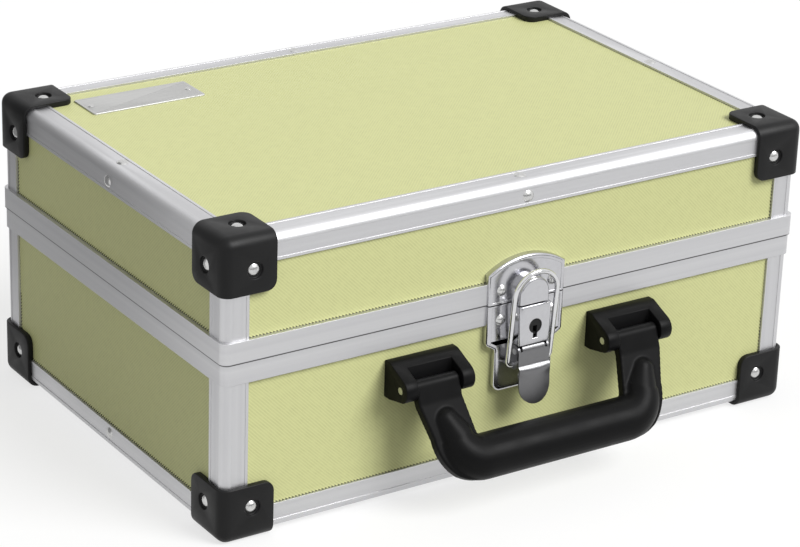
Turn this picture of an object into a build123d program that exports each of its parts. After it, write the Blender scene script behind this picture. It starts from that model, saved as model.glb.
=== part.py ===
"""Aluminium-framed tool case with a hinged lid, a draw latch with a lock, and a folding handle.

Millimetres. +X runs to the case's right, the front faces -Y and +Z is up.
The origin is on the ground, at the middle of the whole object's footprint.
A depth is counted inwards from the outer faces of the corner protectors,
and a height off the panel is counted outwards from the front panel's face.
"""

import os
from math import asin, cos, pi, radians, sin, tan

from build123d import *

os.makedirs("parts", exist_ok=True)

# Overall size over the corner protectors
case_width = 330.0
case_depth = 224.0
case_height = 151.0
seam_height = 90.0
seam_gap = 0.3

# Board panels and the wall thicknesses of the aluminium extrusions
panel_thickness = 4.0
protector_thickness = 1.9
skin_thickness = 1.2
inner_skin_thickness = 1.0

# Edge and post extrusion section
leg_width = 13.0
inner_leg_width = 12.0
bead_radius = 4.5
band_start = 4.6
band_end = 11.6
band_recess = 0.25

# Rim extrusions along the seam
base_rim_height = 10.2
lid_rim_height = 10.6
base_rim_proud = 0.6
lid_rim_proud = 1.1
rim_corner_radius = 4.0
rim_web_thickness = 1.2
tongue_thickness = 1.6
tongue_height = 2.8
groove_depth = 3.5

# Corner protectors
protector_size = 28.0
protector_edge_chamfer = 2.8
protector_inner_chamfer = 1.6
protector_leaf_chamfer = 2.4
protector_rivet_in = 16.75
counterbore_radius = 4.0
counterbore_depth = 1.4

# Dome rivets of the frame
rivet_head_radius = 3.1
rivet_head_height = 1.25
rivet_flats = 8
rivet_taper = 40.0
edge_rivet_in_leg = 8.2

# Foam inside
floor_pad_thickness = 6.0
wall_lining_thickness = 2.0
lid_pad_thickness = 14.0
foam_clearance = 0.4

# Latch: strike plate, base plate and lock housing
plate_thickness = 1.0
plate_height_off = 3.8
plate_edge_chamfer = 1.2
plate_half_width = 22.0
plate_lower_half_width = 16.8
plate_bottom_drop = 45.5
shoulder_low_drop = 24.5
shoulder_high_drop = 19.5
plate_corner_chamfer = 3.0
strike_corner_rise = 15.5
strike_top_rise = 22.6
boss_half_width = 8.4
boss_top_rise = 13.3
boss_height_off = 10.6
boss_edge_chamfer = 1.1
boss_notch_depth = 1.1
boss_notch_width = 3.0
housing_half_width = 9.0
housing_drop = 20.0
housing_height_off = 12.0
housing_edge_chamfer = 0.8
keyhole_drop = 10.9
keyhole_radius = 3.6
key_slot_width = 2.3
key_slot_reach = 6.2
latch_rivet_across = 14.5
latch_rivet_drop = 8.0
strike_rivet_rise = 7.2
low_rivet_drop = 40.0
latch_rivet_head_radius = 2.8

# Latch lever, its pin and the wire loop
lever_pivot_off = 8.3
lever_pivot_drop = 23.8
lever_half_width = 8.8
lever_sheet = 1.0
lever_barrel_radius = 3.5
lever_lip_angle = 15.0
lever_ledge_drop = 32.4
lever_ledge_off = 13.4
lever_tip_off = 15.4
lever_tip_drop = 50.0
lever_tongue_flats = 16
lever_pin_radius = 1.5
pin_clearance = 0.05
press_clearance = 0.01
ear_thickness = 1.0
ear_gap = 0.2
ear_radius = 2.3
loop_wire_radius = 1.3
loop_pivot_off = 7.6
loop_pivot_drop = 30.6
loop_half_width = 12.15
loop_length = 47.6
loop_top_off = 12.2
loop_bend_radius = 2.2
loop_end_across = 7.4
loop_wire_flats = 8
loop_arch_flats = 12

# Lock plug
plug_flange_radius = 4.6
plug_play = 0.1
plug_recess = 0.5
plug_slot_depth = 5.0

# Handle
bracket_spacing = 115.4
bracket_width = 38.0
bracket_bottom_drop = 34.8
bracket_top_drop = 16.2
bracket_block_off = 8.7
bracket_nose_radius = 6.0
bracket_nose_flats = 16
bracket_edge_chamfer = 0.9
handle_pin_off = 13.8
handle_pin_drop = 26.6
handle_pin_radius = 1.75
handle_tilt = 27.4
handle_length = 38.7
handle_eye_radius = 3.6
arm_width = 24.0
arm_thickness = 5.0
arm_side_play = 0.3
arm_lean = 5.0
arm_straight = 9.0
arm_stop_gap = 0.05
grip_radius = 11.0
grip_bend_radius = 12.5
grip_arm_radius = 6.2
grip_arm_start = 17.0
grip_flange_lip = 1.0
grip_flats = 16
stop_web_drop = 31.0
bracket_screw_head_radius = 3.8
bracket_screw_head_height = 1.3
bracket_screw_offset = 9.0

# Hinges on the back
hinge_spacing = 170.0
hinge_width = 38.0
hinge_leaf_thickness = 1.2
hinge_leaf_reach = 25.0
hinge_knuckle_radius = 2.6
hinge_knuckle_play = 0.3
hinge_knuckle_flats = 16
hinge_pin_radius = 1.25
hinge_centre_knuckle = 13.0
hinge_wing_thickness = 1.4
hinge_wing_reach = 7.0
hinge_stop_margin = 1.0
lid_open_angle = 95.0
hinge_rivet_across = 11.0
hinge_rivet_from_seam = 18.5
hinge_wing_root = 9.5
hinge_corner_chamfer = 2.4

# Nameplate on the lid top, left bare
nameplate_width = 62.0
nameplate_depth = 22.6
nameplate_thickness = 0.8
nameplate_from_left = 60.3
nameplate_from_back = 35.8
nameplate_rivet_spacing = 54.0
nameplate_rivet_radius = 1.6
nameplate_rivet_height = 0.6
nameplate_corner_chamfer = 1.0

# Depths that follow from the stack of skins and panels
post_depth = protector_thickness
face_depth = post_depth + skin_thickness
panel_back_depth = face_depth + panel_thickness
inside_depth = panel_back_depth + inner_skin_thickness
section_box = inside_depth - post_depth
half_width = case_width / 2
half_depth = case_depth / 2

# The latch and the handle keep their places beside the seam
strike_corner_height = seam_height + strike_corner_rise
strike_top = seam_height + strike_top_rise
boss_top = seam_height + boss_top_rise
strike_rivet_height = seam_height + strike_rivet_rise
plate_bottom = seam_height - plate_bottom_drop
plate_shoulder_low = seam_height - shoulder_low_drop
plate_shoulder_high = seam_height - shoulder_high_drop
housing_bottom = seam_height - housing_drop
keyhole_height = seam_height - keyhole_drop
latch_rivet_height = seam_height - latch_rivet_drop
latch_low_rivet_height = seam_height - low_rivet_drop
lever_pivot_height = seam_height - lever_pivot_drop
lever_ledge_height = seam_height - lever_ledge_drop
lever_tip_height = seam_height - lever_tip_drop
loop_pivot_height = seam_height - loop_pivot_drop
bracket_bottom = seam_height - bracket_bottom_drop
bracket_top = seam_height - bracket_top_drop
handle_pin_height = seam_height - handle_pin_drop
stop_web_top = seam_height - stop_web_drop

# The axis of the hinges lies just behind the lid rim
lid_rim_depth = post_depth - lid_rim_proud
base_rim_depth = post_depth - base_rim_proud
hinge_axis_behind = hinge_knuckle_radius + hinge_knuckle_play - lid_rim_depth
hinge_axis_height = seam_height + seam_gap / 2
wing_angle = radians(90.0 + (180.0 - lid_open_angle) / 2 - hinge_stop_margin)
handle_reach = handle_pin_off + handle_length * sin(radians(handle_tilt)) + grip_radius - face_depth
hinge_reach = hinge_axis_behind + max(hinge_knuckle_radius, -hinge_wing_reach * cos(wing_angle))
centre_y = (handle_reach - hinge_reach) / 2
front_y = centre_y - half_depth
back_y = centre_y + half_depth
panel_face_y = front_y + face_depth
hinge_axis_y = back_y + hinge_axis_behind
faces_round = ("front", "back", "left", "right")


def finish(part, name):
    """Label a finished piece and write it out under its node name."""
    part.label = name
    export_step(part, f"parts/{name}.step")


def span_box(low, high, mode=Mode.ADD):
    """A box between two opposite corners, in the part being built."""
    size = [b - a for a, b in zip(low, high)]
    middle = [(a + b) / 2 for a, b in zip(low, high)]
    with Locations(tuple(middle)):
        Box(*size, mode=mode)


def outer_plane(face, a, b, depth):
    """A plane on one face of the case, pointing out, at a depth below the protectors."""
    if face == "front":
        return Plane((a, front_y + depth, b), x_dir=(1, 0, 0), z_dir=(0, -1, 0))
    if face == "back":
        return Plane((a, back_y - depth, b), x_dir=(-1, 0, 0), z_dir=(0, 1, 0))
    if face == "left":
        return Plane((-half_width + depth, a, b), x_dir=(0, -1, 0), z_dir=(-1, 0, 0))
    if face == "right":
        return Plane((half_width - depth, a, b), x_dir=(0, 1, 0), z_dir=(1, 0, 0))
    if face == "bottom":
        return Plane((a, b, depth), x_dir=(1, 0, 0), z_dir=(0, 0, -1))
    return Plane((a, b, case_height - depth), x_dir=(1, 0, 0), z_dir=(0, 0, 1))


def corner_rivet_planes(half, face, depth):
    """Where the protector rivets of one half stand on one face."""
    x_in = half_width - protector_rivet_in
    y_in = half_depth - protector_rivet_in
    level = protector_rivet_in if half == "base" else case_height - protector_rivet_in
    if face in ("front", "back"):
        return [outer_plane(face, sx * x_in, level, depth) for sx in (-1, 1)]
    if face in ("left", "right"):
        return [outer_plane(face, centre_y + sy * y_in, level, depth) for sy in (-1, 1)]
    spots = [(sx * x_in, centre_y + sy * y_in) for sx in (-1, 1) for sy in (-1, 1)]
    return [outer_plane(face, a, b, depth) for a, b in spots]


def edge_rivet_planes(half, face, depth):
    """Where the rivets in the middle of the edge extrusions stand on one face."""
    leg_in = post_depth + edge_rivet_in_leg
    level = leg_in if half == "base" else case_height - leg_in
    if face in ("front", "back"):
        return [outer_plane(face, 0, level, depth)]
    if face in ("left", "right"):
        return [outer_plane(face, centre_y, level, depth)]
    spots = [(0, centre_y + sy * (half_depth - leg_in)) for sy in (-1, 1)]
    spots += [(sx * (half_width - leg_in), centre_y) for sx in (-1, 1)]
    return [outer_plane(face, a, b, depth) for a, b in spots]


def rivet_head(radius, height):
    """A set rivet's low dome on its seat, with few flats because there are so many of them."""
    with BuildPart() as head:
        with BuildSketch():
            RegularPolygon(radius, rivet_flats)
        extrude(amount=height, taper=rivet_taper)
    return head.part


# Corner protectors: a black corner cap with three leaves, thicker where it reaches
# past the extrusions down to the panels, and with a sunk rivet seat in each leaf
cap_low = (-half_width, front_y, 0)
cap_high = [value + protector_size for value in cap_low]
cap_edge_axes = (
    (Axis.Y, Axis.Z, Axis.X),
    (Axis.X, Axis.Z, Axis.Y),
    (Axis.X, Axis.Y, Axis.Z),
)
leg_end = post_depth + leg_width

with BuildPart() as cap_inside:
    span_box([value + post_depth for value in cap_low], [value + 1 for value in cap_high])
    inner_edges = [
        edges().filter_by(along).group_by(first)[0].sort_by(second)[0]
        for first, second, along in cap_edge_axes
    ]
    chamfer(inner_edges, protector_inner_chamfer)
    for axis in range(3):
        pad_low = [value + leg_end for value in cap_low]
        pad_high = [value + 2 for value in cap_high]
        pad_low[axis] = cap_low[axis]
        pad_high[axis] = cap_low[axis] + face_depth
        span_box(pad_low, pad_high, mode=Mode.SUBTRACT)

with BuildPart() as corner_cap:
    span_box(cap_low, cap_high)
    far_edges = [
        edges().filter_by(along).group_by(first)[-1].sort_by(second)[-1]
        for first, second, along in cap_edge_axes
    ]
    near_edges = [
        edges().filter_by(along).group_by(first)[0].sort_by(second)[0]
        for first, second, along in cap_edge_axes
    ]
    chamfer(far_edges, protector_leaf_chamfer)
    chamfer(near_edges, protector_edge_chamfer)
    add(cap_inside.part, mode=Mode.SUBTRACT)
    rivet_seats = [
        outer_plane("front", -half_width + protector_rivet_in, protector_rivet_in, 0),
        outer_plane("left", front_y + protector_rivet_in, protector_rivet_in, 0),
        outer_plane("bottom", -half_width + protector_rivet_in, front_y + protector_rivet_in, 0),
    ]
    for seat in rivet_seats:
        with BuildSketch(seat):
            RegularPolygon(counterbore_radius, rivet_flats)
        extrude(amount=-counterbore_depth, mode=Mode.SUBTRACT)

mid_plane_y = Plane((0, centre_y, 0), x_dir=(1, 0, 0), z_dir=(0, 1, 0))
mid_plane_z = Plane.XY.offset(case_height / 2)
for half in ("base", "lid"):
    for end in ("front", "back"):
        for side in ("left", "right"):
            cap = corner_cap.part
            if side == "right":
                cap = cap.mirror(Plane.YZ)
            if end == "back":
                cap = cap.mirror(mid_plane_y)
            if half == "lid":
                cap = cap.mirror(mid_plane_z)
            with BuildPart() as protector:
                add(cap)
            finish(protector.part, f"{half}_protector_{end}_{side}")


# Edge and post extrusions: one L section with a rounded bead, a sunk band, channels that
# take the panel edges and a solid corner, cut to length and mitred where three of them meet
def frame_extrusion(name, start, end, inward, mitre_start, mitre_end):
    """One extrusion along the outer corner line from start to end."""
    start = Vector(*start)
    end = Vector(*end)
    along = (end - start).normalized()
    first, second = (Vector(*direction) for direction in inward)
    if first.cross(second).dot(along) < 0:
        first, second = second, first
    with BuildPart() as extrusion:
        with BuildSketch(Plane(start, x_dir=first, z_dir=along)):
            corner = (Align.MIN, Align.MIN)
            Rectangle(leg_width, leg_width, align=corner)
            with Locations((skin_thickness, skin_thickness)):
                Rectangle(leg_width, leg_width, align=corner, mode=Mode.SUBTRACT)
            Rectangle(section_box, section_box, align=corner)
            panel_back = skin_thickness + panel_thickness
            with Locations((section_box / 2, panel_back)):
                Rectangle(inner_leg_width - section_box / 2, inner_skin_thickness, align=corner)
            with Locations((panel_back, section_box / 2)):
                Rectangle(inner_skin_thickness, inner_leg_width - section_box / 2, align=corner)
            band = band_end - band_start
            with Locations((band_start, 0)):
                Rectangle(band, band_recess, align=corner, mode=Mode.SUBTRACT)
            with Locations((0, band_start)):
                Rectangle(band_recess, band, align=corner, mode=Mode.SUBTRACT)
            fillet(vertices().sort_by_distance((0, 0, 0))[0], bead_radius)
        extrude(amount=(end - start).length)
        for across in (first, second):
            if mitre_start:
                split(bisect_by=Plane(start, z_dir=along - across), keep=Keep.TOP)
            if mitre_end:
                split(bisect_by=Plane(end, z_dir=-along - across), keep=Keep.TOP)
    finish(extrusion.part, name)


def level_of(half, depth):
    """The height that lies at a depth below the bottom or top of one half."""
    return depth if half == "base" else case_height - depth


left_x = -half_width + post_depth
right_x = half_width - post_depth
near_y = front_y + post_depth
far_y = back_y - post_depth
base_rim_bottom = seam_height - base_rim_height
lid_rim_bottom = seam_height + seam_gap
lid_rim_top = lid_rim_bottom + lid_rim_height
band_depth = post_depth + band_recess

for half, up in (("base", 1), ("lid", -1)):
    level = level_of(half, post_depth)
    rim_edge = base_rim_bottom if half == "base" else lid_rim_top
    prefix = "base_bottom_edge" if half == "base" else "lid_top_edge"
    for end, y, inward_y in (("front", near_y, 1), ("back", far_y, -1)):
        frame_extrusion(
            f"{prefix}_{end}",
            (left_x, y, level),
            (right_x, y, level),
            ((0, inward_y, 0), (0, 0, up)),
            True,
            True,
        )
    for side, x, inward_x in (("left", left_x, 1), ("right", right_x, -1)):
        frame_extrusion(
            f"{prefix}_{side}",
            (x, near_y, level),
            (x, far_y, level),
            ((inward_x, 0, 0), (0, 0, up)),
            True,
            True,
        )
        for end, y, inward_y in (("front", near_y, 1), ("back", far_y, -1)):
            frame_extrusion(
                f"{half}_post_{end}_{side}",
                (x, y, level),
                (x, y, rim_edge),
                ((inward_x, 0, 0), (0, inward_y, 0)),
                True,
                False,
            )


# Latch planes: the latch stands on the front panel, centred across the case
def off_panel(off):
    """The y coordinate at a height off the front panel's face."""
    return panel_face_y - off


def front_plane(x, z, off):
    """A plane facing forwards at a height off the front panel."""
    return Plane((x, off_panel(off), z), x_dir=(1, 0, 0), z_dir=(0, -1, 0))


latch_rivet_spots = [
    (-latch_rivet_across, latch_rivet_height),
    (latch_rivet_across, latch_rivet_height),
    (0, latch_low_rivet_height),
]
strike_rivet_spots = [(-latch_rivet_across, strike_rivet_height), (latch_rivet_across, strike_rivet_height)]
bracket_middle = (bracket_top + bracket_bottom) / 2
bracket_screw_across = [
    sx * bracket_spacing / 2 + offset
    for sx in (-1, 1)
    for offset in (-bracket_screw_offset, bracket_screw_offset)
]
hinge_rivet_spots = [
    sx * hinge_spacing / 2 + offset
    for sx in (-1, 1)
    for offset in (-hinge_rivet_across, hinge_rivet_across)
]


# Rim extrusions: the base rim carries a tongue along the seam, and the lid rim a groove
def ring_wall(outer_depth, inner_depth, low, high, corner_radius=0.0):
    """An upright wall that runs round the case between two depths."""
    with BuildPart() as ring:
        with BuildSketch(Plane((0, centre_y, low))):
            width = case_width - 2 * outer_depth
            depth = case_depth - 2 * outer_depth
            if corner_radius:
                RectangleRounded(width, depth, corner_radius)
            else:
                Rectangle(width, depth)
            Rectangle(
                case_width - 2 * inner_depth, case_depth - 2 * inner_depth, mode=Mode.SUBTRACT
            )
        extrude(amount=high - low)
    return ring.part


panel_top = seam_height - rim_web_thickness
groove_floor = lid_rim_bottom + groove_depth
lid_panel_bottom = groove_floor + rim_web_thickness
tongue_depth = face_depth + (panel_thickness - tongue_thickness) / 2

with BuildPart() as base_rim:
    add(ring_wall(base_rim_depth, face_depth, base_rim_bottom, seam_height, rim_corner_radius))
    add(ring_wall(face_depth, inside_depth, panel_top, seam_height))
    add(ring_wall(panel_back_depth, inside_depth, base_rim_bottom, seam_height))
    add(
        ring_wall(
            tongue_depth, tongue_depth + tongue_thickness, seam_height, seam_height + tongue_height
        )
    )
finish(base_rim.part, "base_rim")

with BuildPart() as lid_rim:
    add(ring_wall(lid_rim_depth, face_depth, lid_rim_bottom, lid_rim_top, rim_corner_radius))
    add(ring_wall(face_depth, inside_depth, groove_floor, lid_panel_bottom))
    add(ring_wall(panel_back_depth, inside_depth, lid_rim_bottom, lid_rim_top))
finish(lid_rim.part, "lid_rim")


# Board panels, whose edges sit in the channels of the extrusions
for half, low_z, high_z in (
    ("base", inside_depth, panel_top),
    ("lid", lid_panel_bottom, case_height - inside_depth),
):
    inside_low = (-half_width + inside_depth, front_y + inside_depth)
    inside_high = (half_width - inside_depth, back_y - inside_depth)
    cap_face = "bottom" if half == "base" else "top"
    cap_levels = sorted((level_of(half, face_depth), level_of(half, panel_back_depth)))
    spans = {
        "front": (
            (inside_low[0], front_y + face_depth, low_z),
            (inside_high[0], front_y + panel_back_depth, high_z),
        ),
        "back": (
            (inside_low[0], back_y - panel_back_depth, low_z),
            (inside_high[0], back_y - face_depth, high_z),
        ),
        "left": (
            (-half_width + face_depth, inside_low[1], low_z),
            (-half_width + panel_back_depth, inside_high[1], high_z),
        ),
        "right": (
            (half_width - panel_back_depth, inside_low[1], low_z),
            (half_width - face_depth, inside_high[1], high_z),
        ),
        cap_face: (
            (*inside_low, cap_levels[0]),
            (*inside_high, cap_levels[1]),
        ),
    }
    for face, (low, high) in spans.items():
        with BuildPart() as board_panel:
            span_box(low, high)
        finish(board_panel.part, f"{half}_panel_{face}")

# Rivets of the frame: sunk in the protectors' seats, proud on the extrusions
frame_rivet = rivet_head(rivet_head_radius, rivet_head_height)
for half, cap_face in (("base", "bottom"), ("lid", "top")):
    with BuildPart() as frame_rivets:
        for face in faces_round + (cap_face,):
            with Locations(*corner_rivet_planes(half, face, counterbore_depth)):
                add(frame_rivet)
            with Locations(*edge_rivet_planes(half, face, band_depth)):
                add(frame_rivet)
    finish(frame_rivets.part, f"{half}_frame_rivets")

# Foam: a tray that lines the floor and walls of the base, and a thick pad in the lid
room_low_x = -half_width + inside_depth + foam_clearance
room_high_x = half_width - inside_depth - foam_clearance
room_low_y = front_y + inside_depth + foam_clearance
room_high_y = back_y - inside_depth - foam_clearance
floor_level = inside_depth
floor_pad_top = floor_level + floor_pad_thickness

with BuildPart() as base_lining:
    span_box((room_low_x, room_low_y, floor_level), (room_high_x, room_high_y, panel_top))
    span_box(
        (room_low_x + wall_lining_thickness, room_low_y + wall_lining_thickness, floor_pad_top),
        (room_high_x - wall_lining_thickness, room_high_y - wall_lining_thickness, seam_height),
        mode=Mode.SUBTRACT,
    )
finish(base_lining.part, "base_lining")

with BuildPart() as lid_pad:
    lid_ceiling = case_height - inside_depth
    span_box(
        (room_low_x, room_low_y, lid_ceiling - lid_pad_thickness),
        (room_high_x, room_high_y, lid_ceiling),
    )
finish(lid_pad.part, "lid_pad")


# Latch plates: drawn chrome sheet with turned-back edges that stand on the panel and the rim
def arch_points(start, rise, flats):
    """Points over an arch from a point to its mirror image, leaving out the two ends."""
    across, low = start
    radius = (across * across + rise * rise) / (2 * rise)
    centre = low + rise - radius
    half_turn = asin(across / radius) if rise < radius else pi - asin(across / radius)
    turns = [half_turn * (1 - 2 * step / flats) for step in range(1, flats)]
    return [(radius * sin(turn), centre + radius * cos(turn)) for turn in turns]


def plate_outline(points, inset=0.0):
    """The front outline of a plate on the panel plane, as a face."""
    with BuildSketch() as outline:
        with BuildLine():
            Polyline(*points, close=True)
        make_face()
        if inset:
            offset(amount=-inset, kind=Kind.INTERSECTION)
    return outline.sketch


base_plate_top = seam_height - seam_gap
base_plate_points = [
    (-plate_half_width, base_plate_top),
    (-plate_half_width, plate_shoulder_high),
    (-plate_lower_half_width, plate_shoulder_low),
    (-plate_lower_half_width, plate_bottom),
    (plate_lower_half_width, plate_bottom),
    (plate_lower_half_width, plate_shoulder_low),
    (plate_half_width, plate_shoulder_high),
    (plate_half_width, base_plate_top),
]
ear_outer = lever_half_width - lever_sheet - ear_gap

with BuildPart() as latch_base_plate:
    with BuildSketch(front_plane(0, 0, 0)):
        add(plate_outline(base_plate_points))
        chamfer(vertices().group_by(Axis.Y)[0], plate_corner_chamfer)
    extrude(amount=plate_height_off)
    front_rim = faces().sort_by(Axis.Y)[0].edges().sort_by(Axis.Z)[:-1]
    chamfer(front_rim, plate_edge_chamfer)
    with BuildSketch(front_plane(0, 0, 0)):
        add(plate_outline(base_plate_points, inset=plate_thickness))
        with Locations((0, base_plate_top)):
            Rectangle(2 * (plate_half_width - plate_thickness), 4 * plate_thickness)
    extrude(amount=plate_height_off - plate_thickness, mode=Mode.SUBTRACT)
    span_box(
        (-half_width, off_panel(face_depth - base_rim_depth), base_rim_bottom),
        (half_width, panel_face_y, seam_height),
        mode=Mode.SUBTRACT,
    )
    for side in (-1, 1):
        ear_plane = Plane((side * (ear_outer - ear_thickness / 2), 0, 0), x_dir=(0, -1, 0), z_dir=(-1, 0, 0))
        with BuildSketch(ear_plane):
            with Locations((-off_panel(lever_pivot_off), lever_pivot_height)):
                Circle(ear_radius)
            with Locations((-off_panel(plate_height_off - plate_thickness / 2), lever_pivot_height)):
                Rectangle(plate_thickness, 2 * ear_radius)
            make_hull()
        extrude(amount=ear_thickness / 2, both=True)
    with Locations(Plane((0, off_panel(lever_pivot_off), lever_pivot_height), z_dir=(1, 0, 0))):
        Cylinder(lever_pin_radius + press_clearance, 4 * plate_half_width, mode=Mode.SUBTRACT)
finish(latch_base_plate.part, "latch_base_plate")

strike_bottom = lid_rim_bottom
strike_points = [
    (-plate_half_width, strike_corner_height),
    (-plate_half_width, strike_bottom),
    (plate_half_width, strike_bottom),
    (plate_half_width, strike_corner_height),
    *arch_points((plate_half_width, strike_corner_height), strike_top - strike_corner_height, 8),
]


def boss_outline(inset):
    """The catch boss seen from the front: straight sides and a round top."""
    reach = boss_half_width - inset
    spring = boss_top - boss_half_width
    points = [
        (-reach, spring),
        (-reach, strike_bottom),
        (reach, strike_bottom),
        (reach, spring),
        *arch_points((reach, spring), reach, 10),
    ]
    return plate_outline(points)


notch_off = (plate_height_off + boss_height_off - boss_notch_width) / 2
with BuildPart() as catch_boss:
    with BuildSketch(front_plane(0, 0, plate_height_off - plate_thickness)):
        add(boss_outline(0))
    extrude(amount=boss_height_off - plate_height_off + plate_thickness)
    boss_front = faces().sort_by(Axis.Y)[0].edges().sort_by(Axis.Z)[1:]
    chamfer(boss_front, boss_edge_chamfer)
    with BuildSketch(front_plane(0, 0, notch_off)):
        with Locations((0, boss_top - boss_half_width / 2)):
            Rectangle(4 * boss_half_width, boss_half_width)
        add(boss_outline(boss_notch_depth), mode=Mode.SUBTRACT)
    extrude(amount=boss_notch_width, mode=Mode.SUBTRACT)

with BuildPart() as latch_strike_plate:
    with BuildSketch(front_plane(0, 0, 0)):
        add(plate_outline(strike_points))
    extrude(amount=plate_height_off)
    strike_rim = faces().sort_by(Axis.Y)[0].edges().sort_by(Axis.Z)[1:]
    chamfer(strike_rim, plate_edge_chamfer)
    with BuildSketch(front_plane(0, 0, 0)):
        add(plate_outline(strike_points, inset=plate_thickness))
        with Locations((0, strike_bottom)):
            Rectangle(2 * (plate_half_width - plate_thickness), 4 * plate_thickness)
    extrude(amount=plate_height_off - plate_thickness, mode=Mode.SUBTRACT)
    span_box(
        (-half_width, off_panel(face_depth - lid_rim_depth), strike_bottom),
        (half_width, panel_face_y, lid_rim_top),
        mode=Mode.SUBTRACT,
    )
    add(catch_boss.part)
    with BuildSketch(front_plane(0, 0, 0)):
        add(boss_outline(2 * plate_thickness))
    extrude(amount=boss_height_off - plate_thickness, mode=Mode.SUBTRACT)
finish(latch_strike_plate.part, "latch_strike_plate")

# Lock housing: a drawn cover over the lock, open below for the lever
with BuildPart() as lock_housing:
    span_box(
        (-housing_half_width, off_panel(housing_height_off), housing_bottom),
        (housing_half_width, off_panel(plate_height_off), base_plate_top),
    )
    chamfer(edges().filter_by(Axis.Z).group_by(Axis.Y)[0], housing_edge_chamfer)
    span_box(
        (
            -housing_half_width + plate_thickness,
            off_panel(housing_height_off - plate_thickness),
            housing_bottom - plate_thickness,
        ),
        (housing_half_width - plate_thickness, panel_face_y, base_plate_top - plate_thickness),
        mode=Mode.SUBTRACT,
    )
    with BuildSketch(front_plane(0, keyhole_height, housing_height_off)):
        Circle(keyhole_radius)
        with Locations((0, -key_slot_reach / 2)):
            Rectangle(key_slot_width, key_slot_reach)
    extrude(amount=-plate_thickness * 2, mode=Mode.SUBTRACT)
finish(lock_housing.part, "lock_housing")

# Lock plug: a flanged barrel held between the base plate and the housing, with a key slot
plug_nose_radius = keyhole_radius - pin_clearance
with BuildPart() as lock_plug:
    with BuildSketch(front_plane(0, keyhole_height, plate_height_off + plug_play)):
        Circle(plug_flange_radius)
    extrude(amount=housing_height_off - plate_thickness - plate_height_off - 2 * plug_play)
    nose_start = housing_height_off - plate_thickness - plug_play
    with BuildSketch(front_plane(0, keyhole_height, nose_start)):
        Circle(plug_nose_radius)
    extrude(amount=housing_height_off - plug_recess - nose_start)
    with BuildSketch(front_plane(0, keyhole_height, housing_height_off)):
        with Locations((0, -plug_nose_radius / 2)):
            Rectangle(key_slot_width, plug_nose_radius)
    extrude(amount=-plug_slot_depth, mode=Mode.SUBTRACT)
finish(lock_plug.part, "lock_plug")

# Latch lever: pressed channel with a rolled top round its pin, a ledge and a finger tongue
side_plane = Plane((0, 0, 0), x_dir=(0, -1, 0), z_dir=(-1, 0, 0))
pivot_u = -off_panel(lever_pivot_off)
loop_u = -off_panel(loop_pivot_off)
ledge_u = -off_panel(lever_ledge_off)
tip_u = -off_panel(lever_tip_off)
lever_front_u = pivot_u + lever_barrel_radius

with BuildPart() as latch_lever:
    with BuildSketch(side_plane) as cheek_section:
        with Locations((pivot_u, lever_pivot_height)):
            Circle(lever_barrel_radius)
        with Locations((loop_u, loop_pivot_height)):
            Circle(loop_wire_radius * 2)
        with Locations((lever_front_u - lever_sheet / 2, lever_ledge_height + 2 * lever_sheet)):
            Rectangle(lever_sheet, 2 * lever_sheet)
        make_hull()
    extrude(amount=lever_half_width, both=True)
    extrude(
        cheek_section.sketch, amount=lever_half_width - lever_sheet, both=True, mode=Mode.SUBTRACT
    )
    with BuildSketch(side_plane):
        with BuildLine():
            lip = CenterArc((pivot_u, lever_pivot_height), lever_barrel_radius, 0, lever_lip_angle)
            web = Line(lip @ 0, (lever_front_u, lever_ledge_height + 2 * lever_sheet))
            ledge = Line(web @ 1, (ledge_u, lever_ledge_height))
            tongue = ThreePointArc(
                ledge @ 1,
                ((ledge_u + tip_u) / 2 - 0.5, (lever_ledge_height + lever_tip_height) / 2),
                (tip_u, lever_tip_height),
            )
            offset(amount=lever_sheet, side=Side.LEFT, closed=True)
        make_face()
    extrude(amount=lever_half_width, both=True)
    with BuildSketch(front_plane(0, 0, 0)):
        tongue_round = lever_tip_height + lever_half_width
        with Locations((0, tongue_round)):
            RegularPolygon(
                lever_half_width, lever_tongue_flats, major_radius=False, rotation=180 / lever_tongue_flats
            )
        with Locations((0, (tongue_round + seam_height) / 2)):
            Rectangle(2 * lever_half_width, seam_height - tongue_round)
    extrude(amount=2 * lever_tip_off, mode=Mode.INTERSECT)
    with Locations(Plane((0, off_panel(lever_pivot_off), lever_pivot_height), z_dir=(1, 0, 0))):
        Cylinder(lever_pin_radius + pin_clearance, 4 * lever_half_width, mode=Mode.SUBTRACT)
    with Locations(Plane((0, off_panel(loop_pivot_off), loop_pivot_height), z_dir=(1, 0, 0))):
        Cylinder(loop_wire_radius + pin_clearance, 4 * lever_half_width, mode=Mode.SUBTRACT)
finish(latch_lever.part, "latch_lever")

with BuildPart() as lever_pin:
    with Locations(Plane((0, off_panel(lever_pivot_off), lever_pivot_height), z_dir=(1, 0, 0))):
        Cylinder(lever_pin_radius, 2 * (lever_half_width + ear_gap))
finish(lever_pin.part, "lever_pin")

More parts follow.
